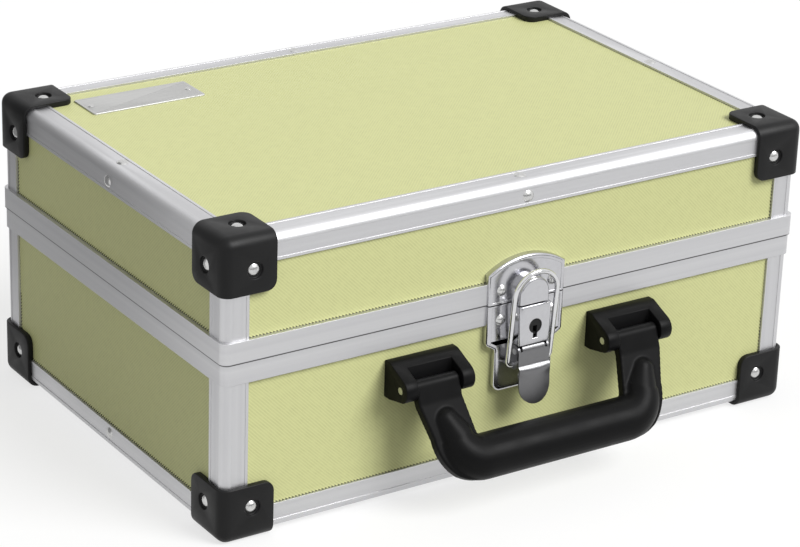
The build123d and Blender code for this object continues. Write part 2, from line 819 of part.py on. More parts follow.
# Draw loop: one bent wire whose ends turn in through the lever's cheeks
loop_rise = Vector(0, loop_pivot_off - loop_top_off, loop_length)
loop_leg = loop_rise.length - loop_half_width
loop_plane = Plane(
    (0, off_panel(loop_pivot_off), loop_pivot_height),
    x_dir=(1, 0, 0),
    z_dir=Vector(1, 0, 0).cross(loop_rise),
)
loop_corner = loop_bend_radius * (1 - cos(radians(45)))
loop_arch = arch_points((loop_half_width, loop_leg), loop_half_width, loop_arch_flats)
loop_side = [
    (loop_end_across, 0),
    (loop_half_width - loop_bend_radius, 0),
    (loop_half_width - loop_corner, loop_corner),
    (loop_half_width, loop_bend_radius),
    (loop_half_width, loop_leg),
]
with BuildPart() as draw_loop:
    with BuildLine(loop_plane):
        Polyline(*loop_side, *loop_arch, *[(-x, y) for x, y in reversed(loop_side)])
    loop_end = (loop_end_across, off_panel(loop_pivot_off), loop_pivot_height)
    with BuildSketch(Plane(loop_end, x_dir=loop_plane.z_dir, z_dir=(1, 0, 0))):
        RegularPolygon(loop_wire_radius, loop_wire_flats)
    sweep(transition=Transition.RIGHT)
finish(draw_loop.part, "draw_loop")

# Handle brackets: black plastic clevises with a stop web that holds the handle off the panel
pin_u = -off_panel(handle_pin_off)
tilt = radians(handle_tilt)


def stop_u(height):
    """How far out the back of the resting arm stands at a height, in the side view."""
    lean = (handle_pin_height - height) * tan(tilt)
    return pin_u + lean - (arm_thickness / 2 + arm_stop_gap) / cos(tilt)


panel_u = -panel_face_y
slot_low = bracket_bottom - bracket_nose_radius
slot_high = bracket_top + bracket_nose_radius
slot_far = pin_u + 2 * bracket_nose_radius
for side, sx in (("left", -1), ("right", 1)):
    bracket_x = sx * bracket_spacing / 2
    bracket_plane = Plane((bracket_x, 0, 0), x_dir=(0, -1, 0), z_dir=(-1, 0, 0))
    with BuildPart() as handle_bracket:
        with BuildSketch(bracket_plane):
            with Locations((panel_u + bracket_block_off / 4, bracket_middle)):
                Rectangle(bracket_block_off / 2, bracket_top - bracket_bottom)
            with Locations((pin_u, handle_pin_height)):
                RegularPolygon(bracket_nose_radius, bracket_nose_flats)
            make_hull()
        extrude(amount=bracket_width / 2, both=True)
        cheek_faces = faces().filter_by(Axis.X)
        chamfer(
            cheek_faces.edges().filter_by(lambda edge: edge.center().Y < panel_face_y - 1),
            bracket_edge_chamfer,
        )
        with BuildSketch(bracket_plane):
            with BuildLine():
                Polyline(
                    (panel_u + bracket_block_off, slot_high),
                    (panel_u + bracket_block_off, stop_web_top),
                    (stop_u(stop_web_top), stop_web_top),
                    (stop_u(slot_low), slot_low),
                    (slot_far, slot_low),
                    (slot_far, slot_high),
                    close=True,
                )
            make_face()
        extrude(amount=arm_width / 2 + arm_side_play, both=True, mode=Mode.SUBTRACT)
        with Locations(Plane((bracket_x, off_panel(handle_pin_off), handle_pin_height), z_dir=(1, 0, 0))):
            Cylinder(handle_pin_radius + press_clearance, 2 * bracket_width, mode=Mode.SUBTRACT)
    finish(handle_bracket.part, f"handle_bracket_{side}")

with BuildPart() as handle_pins:
    for sx in (-1, 1):
        pin_centre = (sx * bracket_spacing / 2, off_panel(handle_pin_off), handle_pin_height)
        with Locations(Plane(pin_centre, z_dir=(1, 0, 0))):
            Cylinder(handle_pin_radius, bracket_width - 2 * pin_clearance)
finish(handle_pins.part, "handle_pins")

bracket_screw = rivet_head(bracket_screw_head_radius, bracket_screw_head_height)
with BuildPart() as bracket_screws:
    for x in bracket_screw_across:
        with Locations(outer_plane("back", x, bracket_middle, case_depth - panel_back_depth)):
            add(bracket_screw)
finish(bracket_screws.part, "bracket_screws")

# Carrying handle: flat arms with eyes, and a round grip that swells out of them through the bends
handle_plane = Plane(
    (0, off_panel(handle_pin_off), handle_pin_height),
    x_dir=(1, 0, 0),
    z_dir=(0, -cos(tilt), sin(tilt)),
)
eye_across = bracket_spacing / 2
arm_outer = eye_across + arm_width / 2
arm_inner = eye_across - arm_width / 2
grip_across = arm_outer - arm_lean - grip_radius
bend_start = handle_length - grip_bend_radius
bend_across = grip_across - grip_bend_radius
lean_length = handle_length - arm_straight
rib_across = grip_across + arm_lean * (handle_length - grip_arm_start) / lean_length
flange_radius = grip_bend_radius + grip_radius + grip_flange_lip
flange_middle = (flange_radius - grip_flange_lip / 2) * sin(radians(45))
grip_growth = ((0.0, 0.0), (0.32, 0.5), (0.6, 0.85), (1.0, 1.0))

with BuildLine(handle_plane) as grip_path:
    Line((rib_across, -grip_arm_start), (grip_across, -bend_start))
    CenterArc((bend_across, -bend_start), grip_bend_radius, 0, -90)
grip_wire = grip_path.wires()[0]

with BuildPart() as grip_end:
    grip_planes = [
        Plane(grip_wire @ along, x_dir=handle_plane.z_dir, z_dir=grip_wire % along)
        for along, grown in grip_growth
    ]
    with BuildSketch(grip_planes[0].offset(-grip_arm_radius * sin(radians(45)))):
        RegularPolygon(grip_arm_radius * cos(radians(45)), grip_flats)
    for section, (along, grown) in zip(grip_planes, grip_growth):
        with BuildSketch(section):
            RegularPolygon(grip_arm_radius + (grip_radius - grip_arm_radius) * grown, grip_flats)
    loft(ruled=True)

with BuildPart() as carrying_handle:
    with BuildSketch(handle_plane):
        with BuildLine():
            outer_low = (bend_across + flange_radius, -bend_start)
            flange_end = (bend_across, -bend_start - flange_radius + 1.2 * grip_flange_lip)
            Polyline((arm_inner, 0), (arm_outer, 0), (arm_outer, -arm_straight), outer_low)
            ThreePointArc(
                outer_low,
                (bend_across + flange_middle, -bend_start - flange_middle),
                flange_end,
            )
            Polyline(
                flange_end,
                (bend_across, -handle_length),
                (arm_inner - arm_lean, -handle_length),
                (arm_inner, -arm_straight),
                (arm_inner, 0),
            )
        make_face()
        mirror(about=Plane.YZ)
    extrude(amount=arm_thickness / 2, both=True)
    add(grip_end.part)
    add(grip_end.part.mirror(Plane.YZ))
    grip_centre = handle_plane.from_local_coords((0, -handle_length, 0))
    with BuildSketch(Plane(grip_centre, x_dir=handle_plane.z_dir, z_dir=(1, 0, 0))):
        RegularPolygon(grip_radius, grip_flats)
    extrude(amount=bend_across, both=True)
    for sx in (-1, 1):
        eye_centre = (sx * eye_across, off_panel(handle_pin_off), handle_pin_height)
        with Locations(Plane(eye_centre, z_dir=(1, 0, 0))):
            Cylinder(handle_eye_radius, arm_width)
            Cylinder(handle_pin_radius + pin_clearance, 2 * arm_width, mode=Mode.SUBTRACT)
finish(carrying_handle.part, "carrying_handle")


# Hinges: joggled steel leaves whose knuckles share one pin, with wings that stop the lid
def hinge_plane(x):
    """The side view of a hinge: behind the protectors across, above the pin's axis up."""
    return Plane((x, back_y, hinge_axis_height), x_dir=(0, 1, 0), z_dir=(1, 0, 0))


leaf_start = hinge_knuckle_radius + hinge_knuckle_play
hinge_half_width = hinge_width / 2
knuckle_end = hinge_half_width - hinge_wing_thickness - hinge_knuckle_play
centre_half = hinge_centre_knuckle / 2
side_knuckle = knuckle_end - centre_half - hinge_knuckle_play
side_knuckle_middle = knuckle_end - side_knuckle / 2
bend_shift = hinge_leaf_thickness * tan(radians(22.5))


def hinge_leaves(up, rim_depth, rim_reach, knuckles, bore_radius):
    """The two leaves of one half, where up is 1 in the lid and -1 in the base."""
    bend = rim_reach + bend_shift
    bend_end = bend + face_depth - rim_depth
    rim_u = -rim_depth
    panel_side_u = -face_depth
    outline = [
        (rim_u, leaf_start),
        (rim_u, bend),
        (panel_side_u, bend_end),
        (panel_side_u, hinge_leaf_reach),
        (panel_side_u + hinge_leaf_thickness, hinge_leaf_reach),
        (panel_side_u + hinge_leaf_thickness, bend_end + bend_shift),
        (rim_u + hinge_leaf_thickness, bend + bend_shift),
        (rim_u + hinge_leaf_thickness, leaf_start),
    ]
    wing_out = -cos(wing_angle)
    wing_up = sin(wing_angle)
    wing = [
        (rim_u, leaf_start),
        (rim_u, hinge_wing_root),
        (hinge_axis_behind + wing_out * hinge_wing_reach, wing_up * hinge_wing_reach),
        (hinge_axis_behind + wing_out * hinge_knuckle_radius, wing_up * hinge_knuckle_radius),
    ]
    with BuildPart() as leaves:
        for sx in (-1, 1):
            x = sx * hinge_spacing / 2
            with BuildSketch(hinge_plane(x)):
                with BuildLine():
                    Polyline(*[(u, up * v) for u, v in outline], close=True)
                make_face()
            extrude(amount=hinge_half_width, both=True)
            for end in (-1, 1):
                with BuildSketch(hinge_plane(x + end * (hinge_half_width - hinge_wing_thickness / 2))):
                    with BuildLine():
                        Polyline(*[(u, up * v) for u, v in wing], close=True)
                    make_face()
                extrude(amount=hinge_wing_thickness / 2, both=True)
            for middle, width in knuckles:
                with BuildSketch(hinge_plane(x + middle)):
                    with Locations((hinge_axis_behind, 0)):
                        RegularPolygon(hinge_knuckle_radius, hinge_knuckle_flats)
                    with Locations((rim_u + hinge_leaf_thickness / 2, up * 1.5 * leaf_start)):
                        Rectangle(hinge_leaf_thickness, leaf_start)
                    make_hull()
                extrude(amount=width / 2, both=True)
        leaf_corners = edges().filter_by(Axis.Y).group_by(Axis.Z)[-1 if up > 0 else 0]
        chamfer(leaf_corners, hinge_corner_chamfer)
        for sx in (-1, 1):
            pin_middle = (sx * hinge_spacing / 2, hinge_axis_y, hinge_axis_height)
            with Locations(Plane(pin_middle, z_dir=(1, 0, 0))):
                Cylinder(bore_radius, hinge_width, mode=Mode.SUBTRACT)
    return leaves.part


base_leaves = hinge_leaves(
    -1,
    base_rim_depth,
    hinge_axis_height - base_rim_bottom,
    ((-side_knuckle_middle, side_knuckle), (side_knuckle_middle, side_knuckle)),
    hinge_pin_radius + press_clearance,
)
finish(base_leaves, "hinge_base_leaves")

lid_leaves = hinge_leaves(
    1,
    lid_rim_depth,
    lid_rim_top - hinge_axis_height,
    ((0, hinge_centre_knuckle),),
    hinge_pin_radius + pin_clearance,
)
finish(lid_leaves, "hinge_lid_leaves")

with BuildPart() as hinge_pins:
    for sx in (-1, 1):
        with Locations(
            Plane((sx * hinge_spacing / 2, hinge_axis_y, hinge_axis_height), z_dir=(1, 0, 0))
        ):
            Cylinder(hinge_pin_radius, 2 * knuckle_end)
finish(hinge_pins.part, "hinge_pins")

# Nameplate: a small stamped plate on the lid top, with nothing written on it
nameplate_x = -half_width + nameplate_from_left
nameplate_y = back_y - nameplate_from_back
with BuildPart() as nameplate:
    with BuildSketch(outer_plane("top", nameplate_x, nameplate_y, face_depth)):
        Rectangle(nameplate_width, nameplate_depth)
        chamfer(vertices(), nameplate_corner_chamfer)
    extrude(amount=nameplate_thickness)
    chamfer(faces().sort_by(Axis.Z)[-1].edges(), nameplate_thickness / 3)
finish(nameplate.part, "nameplate")

# Rivets of the fittings: the latch, the hinges and the nameplate
latch_rivet = rivet_head(latch_rivet_head_radius, rivet_head_height)
nameplate_rivet = rivet_head(nameplate_rivet_radius, nameplate_rivet_height)
hinge_seat_depth = face_depth - hinge_leaf_thickness
nameplate_seat_depth = face_depth - nameplate_thickness
for half, up, plate_spots in (("base", -1, latch_rivet_spots), ("lid", 1, strike_rivet_spots)):
    hinge_level = hinge_axis_height + up * hinge_rivet_from_seam
    with BuildPart() as fitting_rivets:
        with Locations(*[front_plane(x, z, plate_height_off) for x, z in plate_spots]):
            add(latch_rivet)
        with Locations(
            *[outer_plane("back", x, hinge_level, hinge_seat_depth) for x in hinge_rivet_spots]
        ):
            add(frame_rivet)
        if half == "lid":
            for side in (-1, 1):
                x = nameplate_x + side * nameplate_rivet_spacing / 2
                with Locations(outer_plane("top", x, nameplate_y, nameplate_seat_depth)):
                    add(nameplate_rivet)
    finish(fitting_rivets.part, f"{half}_fitting_rivets")
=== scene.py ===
from math import asin, cos, pi, radians, sin

import bmesh
import bpy
from mathutils import Matrix, Vector, geometry


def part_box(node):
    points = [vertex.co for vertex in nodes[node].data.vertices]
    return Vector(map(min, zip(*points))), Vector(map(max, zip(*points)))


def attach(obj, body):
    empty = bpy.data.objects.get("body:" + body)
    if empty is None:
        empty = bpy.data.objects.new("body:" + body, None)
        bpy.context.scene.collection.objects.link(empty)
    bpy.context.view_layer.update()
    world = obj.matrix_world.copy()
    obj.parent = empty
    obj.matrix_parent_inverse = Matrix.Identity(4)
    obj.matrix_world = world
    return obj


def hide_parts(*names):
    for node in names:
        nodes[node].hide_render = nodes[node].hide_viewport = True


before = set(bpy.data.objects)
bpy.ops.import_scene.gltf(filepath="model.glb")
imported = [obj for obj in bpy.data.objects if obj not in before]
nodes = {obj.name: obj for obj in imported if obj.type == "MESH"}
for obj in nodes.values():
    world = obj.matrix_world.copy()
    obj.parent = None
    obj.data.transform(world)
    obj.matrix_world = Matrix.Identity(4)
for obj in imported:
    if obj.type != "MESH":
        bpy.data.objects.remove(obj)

scene = bpy.context.scene
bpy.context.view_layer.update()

# The studio: a pale floor that runs to a white surround, one large soft lamp from the
# front right and above, and dark cards beside the set that only polished metal sees.
scene.view_settings.view_transform = "Standard"


def new_material(name):
    """A node material and its parts: the material, its tree and its surface shader."""
    material = bpy.data.materials.new(name)
    material.use_nodes = True
    tree = material.node_tree
    return material, tree, tree.nodes["Principled BSDF"]


def set_inputs(tree, node, inputs):
    """Give a node its input values, and its links from other sockets."""
    for key, value in inputs.items():
        if isinstance(value, bpy.types.NodeSocket):
            tree.links.new(value, node.inputs[key])
        else:
            node.inputs[key].default_value = value


def add_node(tree, kind, inputs=None, **settings):
    """A node with its settings and its inputs."""
    made = tree.nodes.new("ShaderNode" + kind)
    for key, value in settings.items():
        setattr(made, key, value)
    set_inputs(tree, made, inputs or {})
    return made


def reckon(tree, operation, *values):
    """One step of arithmetic in a material."""
    return add_node(tree, "Math", dict(enumerate(values)), operation=operation).outputs[0]


def mix_shaders(tree, share, first, second):
    """Two surfaces or two backgrounds mixed, with the second one's share."""
    inputs = {0: share, 1: first.outputs[0], 2: second.outputs[0]}
    return add_node(tree, "MixShader", inputs)


def seen_directly(tree):
    """1 for rays from the camera and for those that metal or glass sends on."""
    path = add_node(tree, "LightPath").outputs
    first = reckon(tree, "MAXIMUM", path["Is Camera Ray"], path["Is Glossy Ray"])
    return reckon(tree, "MAXIMUM", first, path["Is Transmission Ray"])


def loose_object(shape, name):
    """A bmesh becomes an object that isn't part of the case yet."""
    data = bpy.data.meshes.new(name)
    shape.to_mesh(data)
    shape.free()
    made = bpy.data.objects.new(name, data)
    scene.collection.objects.link(made)
    return made


def aim(shape, facing, place):
    """Turn a shape that faces up to face another way, and move it to its place."""
    turn = Vector(facing).to_track_quat("Z", "Y").to_matrix()
    bmesh.ops.rotate(shape, cent=(0, 0, 0), matrix=turn, verts=shape.verts)
    bmesh.ops.translate(shape, vec=place, verts=shape.verts)


def add_sheet(name, width, height, middle=(0, 0, 0), facing=(0, 0, 1)):
    """A flat sheet of the set and the tree of its paint, whose surface is still open."""
    shape = bmesh.new()
    bmesh.ops.create_grid(shape, x_segments=1, y_segments=1, size=0.5)
    bmesh.ops.scale(shape, vec=(width, height, 1), verts=shape.verts)
    aim(shape, facing, middle)
    sheet = loose_object(shape, name)
    material, tree, shader = new_material(name + "_paint")
    tree.nodes.remove(shader)
    sheet.data.materials.append(material)
    return sheet, tree


def surface(tree, shader):
    """Make a shader the surface of its material."""
    set_inputs(tree, tree.nodes["Material Output"], {"Surface": shader.outputs[0]})


white = (1, 1, 1, 1)
ambient_strength = 0.45
world = bpy.data.worlds.new("studio")
scene.world = world
world.use_nodes = True
surround = world.node_tree
surround.nodes.clear()
soft_fill = add_node(surround, "Background", {"Color": white, "Strength": ambient_strength})
white_surround = add_node(surround, "Background", {"Color": white, "Strength": 1.0})
surround_mix = mix_shaders(surround, seen_directly(surround), soft_fill, white_surround)
add_node(surround, "OutputWorld", {"Surface": surround_mix.outputs[0]})

floor_width = 12.0
floor_glow = 0.7
floor, floor_tree = add_sheet("studio_floor", floor_width, floor_width)
pale_paint = add_node(floor_tree, "BsdfDiffuse", {"Color": (0.95, 0.95, 0.95, 1)})
grey_paint = add_node(floor_tree, "BsdfDiffuse", {"Color": (0.40, 0.40, 0.40, 1)})
white_glow = add_node(floor_tree, "Emission", {"Color": white, "Strength": 1.0})
shown_floor = mix_shaders(floor_tree, floor_glow, pale_paint, white_glow)
surface(
    floor_tree, mix_shaders(floor_tree, seen_directly(floor_tree), grey_paint, shown_floor)
)

lamp_data = bpy.data.lights.new("large_soft_lamp", "SUN")
lamp_data.energy = 2.85
lamp_data.angle = radians(32)
lamp = bpy.data.objects.new("large_soft_lamp", lamp_data)
lamp.rotation_euler = Vector((0.35, -0.60, 0.66)).to_track_quat("Z", "Y").to_euler()
scene.collection.objects.link(lamp)

for name, width, height, middle, facing, shade in (
    ("dark_card_left", 0.48, 1.2, (-0.26, 0.25, 0.24), (1, 0, 0), 0.30),
    ("dark_card_low", 3.6, 0.30, (0.4, -1.6, 0.14), (0, 1, 0), 0.03),
    ("dark_card_high", 1.4, 0.22, (0.2, -1.2, 1.5), (0, 1, -1.1), 0.03),
):
    card, card_tree = add_sheet(name, width, height, middle, facing)
    card_colour = (shade, shade, shade, 1)
    surface(card_tree, add_node(card_tree, "Emission", {"Color": card_colour, "Strength": 1.0}))
    card.visible_camera = False
    card.visible_diffuse = False
    card.visible_transmission = False
    card.visible_shadow = False

camera_data = bpy.data.cameras.new("camera")
camera_data.lens = 132.0
camera_data.sensor_width = 36.0
camera = bpy.data.objects.new("camera", camera_data)
scene.collection.objects.link(camera)
scene.camera = camera
camera_turn = radians(33.7)
camera_tilt = radians(23.0)
camera_roll = radians(-1.93)
camera_place = Vector((-0.7554, -1.1205, 0.6402))
forward = Vector(
    (sin(camera_turn) * cos(camera_tilt), cos(camera_turn) * cos(camera_tilt), -sin(camera_tilt))
)
level_right = forward.cross(Vector((0, 0, 1))).normalized()
level_down = forward.cross(level_right)
camera_right = cos(camera_roll) * level_right + sin(camera_roll) * level_down
camera_up = -forward.cross(camera_right)
camera_axes = Matrix((camera_right, camera_up, -forward)).transposed()
camera.matrix_world = Matrix.Translation(camera_place) @ camera_axes.to_4x4()

# Board panels: thin board faced with a yellow-green laminate that is pressed with fine
# slanting ribs, painted in lighter and darker stripes for the light and shade on them.
# Their edges sit in the aluminium, where the ribs end in a dark ragged line of painted
# shadow that stands for the shade under the lips.
MM = 0.001
case_width = 330.0
case_depth = 224.0
case_height = 151.0
half_width = case_width / 2
half_depth = case_depth / 2
front_y = -95.614
back_y = 128.386
middle_y = (front_y + back_y) / 2
face_depth = 3.1
leg_reach = 14.9
rim_low = 79.8
rim_high = 100.9
laminate_colour = (0.585, 0.600, 0.292)
laminate_rib_pitch = 1.25 * MM
laminate_rib_wander = 1.1
# the ribs are painted in light and shade: one stripe lighter and one darker than the laminate
laminate_rib_shade_tone = 0.86
laminate_rib_highlight_tone = 1.10
# the painted shadow along the panel edges under the aluminium lips: its darkness, where it starts
# and stops, and the length of its teeth on each face
edge_shadow_tone = 0.07
edge_shadow_start = -0.40 * MM
edge_shadow_stop = 0.10 * MM
shadow_tooth_front = 0.8
shadow_tooth_side = 1.5
shadow_tooth_flat = 0.5
board_split = 1.2
board_inside = (0.02, 0.02, 0.021, 1)


def object_place(tree):
    """The place of each point on the case."""
    return add_node(tree, "TexCoord").outputs["Object"]


def noise(tree, place, scale, detail, roughness=0.5):
    """A cloudy pattern from 0 to 1."""
    inputs = {"Vector": place, "Scale": scale, "Detail": detail, "Roughness": roughness}
    return add_node(tree, "TexNoise", inputs).outputs["Fac"]


def spread(tree, value, low, high, start=0.3, stop=0.7):
    """Go from low to high while a value goes from start to stop."""
    inputs = {"Value": value, "From Min": start, "From Max": stop, "To Min": low, "To Max": high}
    return add_node(tree, "MapRange", inputs).outputs["Result"]


def mix_colours(tree, share, first, second):
    """Two colours mixed, with the second one's share."""
    return add_node(tree, "Mix", {0: share, 6: first, 7: second}, data_type="RGBA").outputs[2]


def dim(tree, colour, share):
    """A colour darkened to a share of itself."""
    return add_node(
        tree, "VectorMath", {0: colour, "Scale": share}, operation="SCALE"
    ).outputs[0]


def bump(tree, height, strength, depth, under=None):
    """The slopes of a pattern of some depth in millimetres, laid over other slopes if given."""
    inputs = {"Height": height, "Strength": strength, "Distance": depth * MM}
    if under is not None:
        inputs["Normal"] = under
    return add_node(tree, "Bump", inputs).outputs[0]


def laminate(name, rib_across, spans, depth_axis, outer, sign, shadow_tooth):
    """Laminate on one face: ribs across one way with painted shading, a toothed edge line of
    painted shadow, and lining inside.
    """
    material, tree, shader = new_material(name)
    place = object_place(tree)
    parts = add_node(tree, "SeparateXYZ", {0: place}).outputs
    per_rib = tuple(value / laminate_rib_pitch for value in rib_across)
    phase = add_node(tree, "VectorMath", {0: place, 1: per_rib}, operation="DOT_PRODUCT")
    wander = noise(tree, place, 35.0, 2.0)
    bent = reckon(tree, "MULTIPLY_ADD", wander, laminate_rib_wander, phase.outputs["Value"])
    wave = reckon(tree, "SINE", reckon(tree, "MULTIPLY", bent, 2 * pi))
    rib = spread(tree, wave, 0.0, 1.0, -1.0, 1.0)
    pressed = reckon(tree, "MULTIPLY", rib, noise(tree, place, 260.0, 3.0))
    # how far a point is from where the aluminium starts
    gaps = []
    for axis, middle, half in spans:
        from_middle = reckon(tree, "SUBTRACT", parts[axis], middle * MM)
        gaps.append(reckon(tree, "SUBTRACT", half * MM, reckon(tree, "ABSOLUTE", from_middle)))
    border = reckon(tree, "MINIMUM", *gaps)
    # the teeth of the painted shadow are long below the middle of the second span, and short above
    # it
    below = reckon(tree, "LESS_THAN", from_middle, 0.0)
    length = reckon(tree, "MULTIPLY_ADD", below, 0.7, 0.3)
    shadow_teeth = reckon(tree, "MULTIPLY", reckon(tree, "MULTIPLY", rib, length), -shadow_tooth * MM)
    ragged_shadow_reach = reckon(tree, "ADD", shadow_teeth, border)
    # darken a ragged band at the panel edges: painted shadow where the ribs run under the
    # aluminium lips
    edge_shadow_share = spread(tree, ragged_shadow_reach, edge_shadow_tone, 1.0, edge_shadow_start, edge_shadow_stop)
    # painted light and shade on the ribs: lighter and darker stripes that follow the rib relief
    lit_rib_colour = tuple(value * laminate_rib_highlight_tone for value in laminate_colour) + (1,)
    shaded_rib_colour = tuple(value * laminate_rib_shade_tone for value in laminate_colour) + (1,)
    shadowed_laminate = dim(tree, mix_colours(tree, pressed, lit_rib_colour, shaded_rib_colour), edge_shadow_share)
    depth = reckon(tree, "MULTIPLY", parts[depth_axis], float(sign))
    inside = reckon(tree, "LESS_THAN", depth, (sign * outer - board_split) * MM)
    set_inputs(
        tree,
        shader,
        {
            "Base Color": mix_colours(tree, inside, shadowed_laminate, board_inside),
            "Normal": bump(tree, pressed, 0.55, 0.12),
            "Roughness": 0.46,
            "Specular IOR Level": 0.22,
        },
    )
    return material


def paint(node, material):
    """A CAD node takes one material on all of its faces."""
    data = nodes[node].data
    data.materials.clear()
    data.materials.append(material)


slant = cos(radians(45))
span_across = (0, 0, half_width - leg_reach)
span_deep = (1, middle_y, half_depth - leg_reach)
for half, low, high in (("base", leg_reach, rim_low), ("lid", rim_high, case_height - leg_reach)):
    span_up = (2, (low + high) / 2, (high - low) / 2)
    side_outer = half_width - face_depth
    for face, rib_way, span, axis, outer, sign, shadow_tooth in (
        ("front", (slant, 0, slant), span_across, 1, front_y + face_depth, -1, shadow_tooth_front),
        ("back", (slant, 0, slant), span_across, 1, back_y - face_depth, 1, shadow_tooth_front),
        ("left", (0, slant, slant), span_deep, 0, -side_outer, -1, shadow_tooth_side),
        ("right", (0, slant, slant), span_deep, 0, side_outer, 1, shadow_tooth_side),
    ):
        spans = (span, span_up)
        paint(
            f"{half}_panel_{face}",
            laminate(f"laminate_{half}_{face}", rib_way, spans, axis, outer, sign, shadow_tooth),
        )
for node, outer, sign in (
    ("base_panel_bottom", face_depth, -1),
    ("lid_panel_top", case_height - face_depth, 1),
):
    spans = (span_across, span_deep)
    paint(
        node,
        laminate(f"laminate_{node}", (slant, -slant, 0), spans, 2, outer, sign, shadow_tooth_flat),
    )

# Aluminium frame: satin anodised extrusions with a round bead on the corner and a sunk
# band on each leg. The press leaves fine lines along each one.
anodised_dark = (0.56, 0.56, 0.575, 1)
anodised_light = (0.67, 0.67, 0.68, 1)
line_stretch = 0.006
extrusion_corner = 0.25
rim_corner = 0.35
seam_height = 90.15
# darkness of the painted shadow along the seam between the lid rim and the base rim
seam_shadow_tone = 0.18
sharp_from = radians(32)
smooth_rounds = bpy.data.node_groups.new("smooth_rounds", "GeometryNodeTree")
for way in ("INPUT", "OUTPUT"):
    smooth_rounds.interface.new_socket(
        "Geometry", in_out=way, socket_type="NodeSocketGeometry"
    )
start, merge, smooth, angle, steep, crisp, stop = (
    smooth_rounds.nodes.new(kind)
    for kind in (
        "NodeGroupInput",
        "GeometryNodeMergeByDistance",
        "GeometryNodeSetShadeSmooth",
        "GeometryNodeInputMeshEdgeAngle",
        "FunctionNodeCompare",
        "GeometryNodeSetShadeSmooth",
        "NodeGroupOutput",
    )
)
merge.inputs["Distance"].default_value = 0.002 * MM
steep.data_type = "FLOAT"
steep.operation = "GREATER_THAN"
steep.inputs["B"].default_value = sharp_from
crisp.domain = "EDGE"
crisp.inputs["Shade Smooth"].default_value = False
for a, b in (
    (start.outputs[0], merge.inputs["Geometry"]),
    (merge.outputs[0], smooth.inputs["Geometry"]),
    (angle.outputs["Unsigned Angle"], steep.inputs["A"]),
    (steep.outputs["Result"], crisp.inputs["Selection"]),
    (smooth.outputs[0], crisp.inputs["Geometry"]),
    (crisp.outputs[0], stop.inputs[0]),
):
    smooth_rounds.links.new(a, b)


def soften(names):
    """Merge the loose triangles of CAD nodes and shade their round faces smoothly."""
    for name in names:
        nodes[name].modifiers.new("smooth_rounds", "NODES").node_group = smooth_rounds


def aluminium(name, stretch, corner):
    """Satin aluminium with drawn lines and soft corners, whose tone isn't joined up yet."""
    material, tree, shader = new_material(name)
    place = object_place(tree)
    drawn = add_node(tree, "Mapping", {"Vector": place, "Scale": stretch}).outputs[0]
    tone = mix_colours(tree, noise(tree, drawn, 420.0, 2.0), anodised_dark, anodised_light)
    lines = noise(tree, drawn, 2200.0, 3.0, 0.6)
    rounded = add_node(tree, "Bevel", {"Radius": corner * MM}, samples=4).outputs[0]
    normal = bump(tree, lines, 0.22, 0.03, rounded)
    set_inputs(tree, shader, {"Normal": normal, "Metallic": 1.0, "Anisotropic": 0.35})
    return material, tree, shader, place, tone


aluminium_along = []
for axis in range(3):
    stretch = [1.0, 1.0, 1.0]
    stretch[axis] = line_stretch
    material, tree, shader, place, tone = aluminium(
        "aluminium_lines_" + "xyz"[axis], stretch, extrusion_corner
    )
    gloss = spread(tree, noise(tree, place, 30.0, 4.0), 0.46, 0.56)
    set_inputs(tree, shader, {"Base Color": tone, "Roughness": gloss})
    aluminium_along.append(material)
for face, axis in (("front", 0), ("back", 0), ("left", 1), ("right", 1)):
    for prefix in ("base_bottom_edge", "lid_top_edge"):
        paint(f"{prefix}_{face}", aluminium_along[axis])
for half in ("base", "lid"):
    for end in ("front", "back"):
        for side in ("left", "right"):
            paint(f"{half}_post_{end}_{side}", aluminium_along[2])

# the rims run round the case, so their lines follow X and Y at once and only Z crosses them
rim_metal, tree, shader, place, tone = aluminium(
    "aluminium_rim", (line_stretch, line_stretch, 1.0), rim_corner
)
# a band of painted shadow along the seam between the lid rim and the base rim
level = add_node(tree, "SeparateXYZ", {0: place}).outputs[2]
off_seam = reckon(tree, "ABSOLUTE", reckon(tree, "SUBTRACT", level, seam_height * MM))
seam_painted_shadow = spread(tree, off_seam, seam_shadow_tone, 1.0, 0.30 * MM, 0.55 * MM)
set_inputs(tree, shader, {"Base Color": dim(tree, tone, seam_painted_shadow), "Roughness": 0.50})
for node in ("base_rim", "lid_rim"):
    paint(node, rim_metal)
soften([name for name in nodes if "edge" in name or "post" in name or name.endswith("_rim")])

# Corner protectors: moulded black plastic caps with three leaves over the ends of the
# extrusions, rounded all over, with a sunk rivet hole in each leaf.
protector_size = 28.0
protector_thickness = 1.9
protector_edge_radius = 5.6
protector_leaf_radius = 5.0
protector_soft_edge = 0.45
protector_rivet_in = 16.75
counterbore_radius = 4.0
counterbore_depth = 1.4
hair = 0.01


def black_plastic(name, shade, rough, shine):
    """Moulded black plastic with the fine grain of its mould."""
    material, tree, shader = new_material(name)
    place = object_place(tree)
    haze = noise(tree, place, 90.0, 4.0)
    dark = (shade * 0.8, shade * 0.8, shade * 0.84, 1)
    light = (shade * 1.25, shade * 1.25, shade * 1.3, 1)
    set_inputs(
        tree,
        shader,
        {
            "Base Color": mix_colours(tree, haze, dark, light),
            "Roughness": spread(tree, haze, rough - 0.05, rough + 0.06),
            "Normal": bump(tree, noise(tree, place, 1500.0, 3.0), 0.25, 0.05),
            "Specular IOR Level": shine,
        },
    )
    return material


def box_mesh(low, high):
    """A bmesh box between two corners, in millimetres."""
    shape = bmesh.new()
    bmesh.ops.create_cube(shape, size=1.0)
    size = [b - a for a, b in zip(low, high)]
    centre = [(a + b) / 2 for a, b in zip(low, high)]
    bmesh.ops.scale(shape, vec=size, verts=shape.verts)
    bmesh.ops.translate(shape, vec=centre, verts=shape.verts)
    return shape


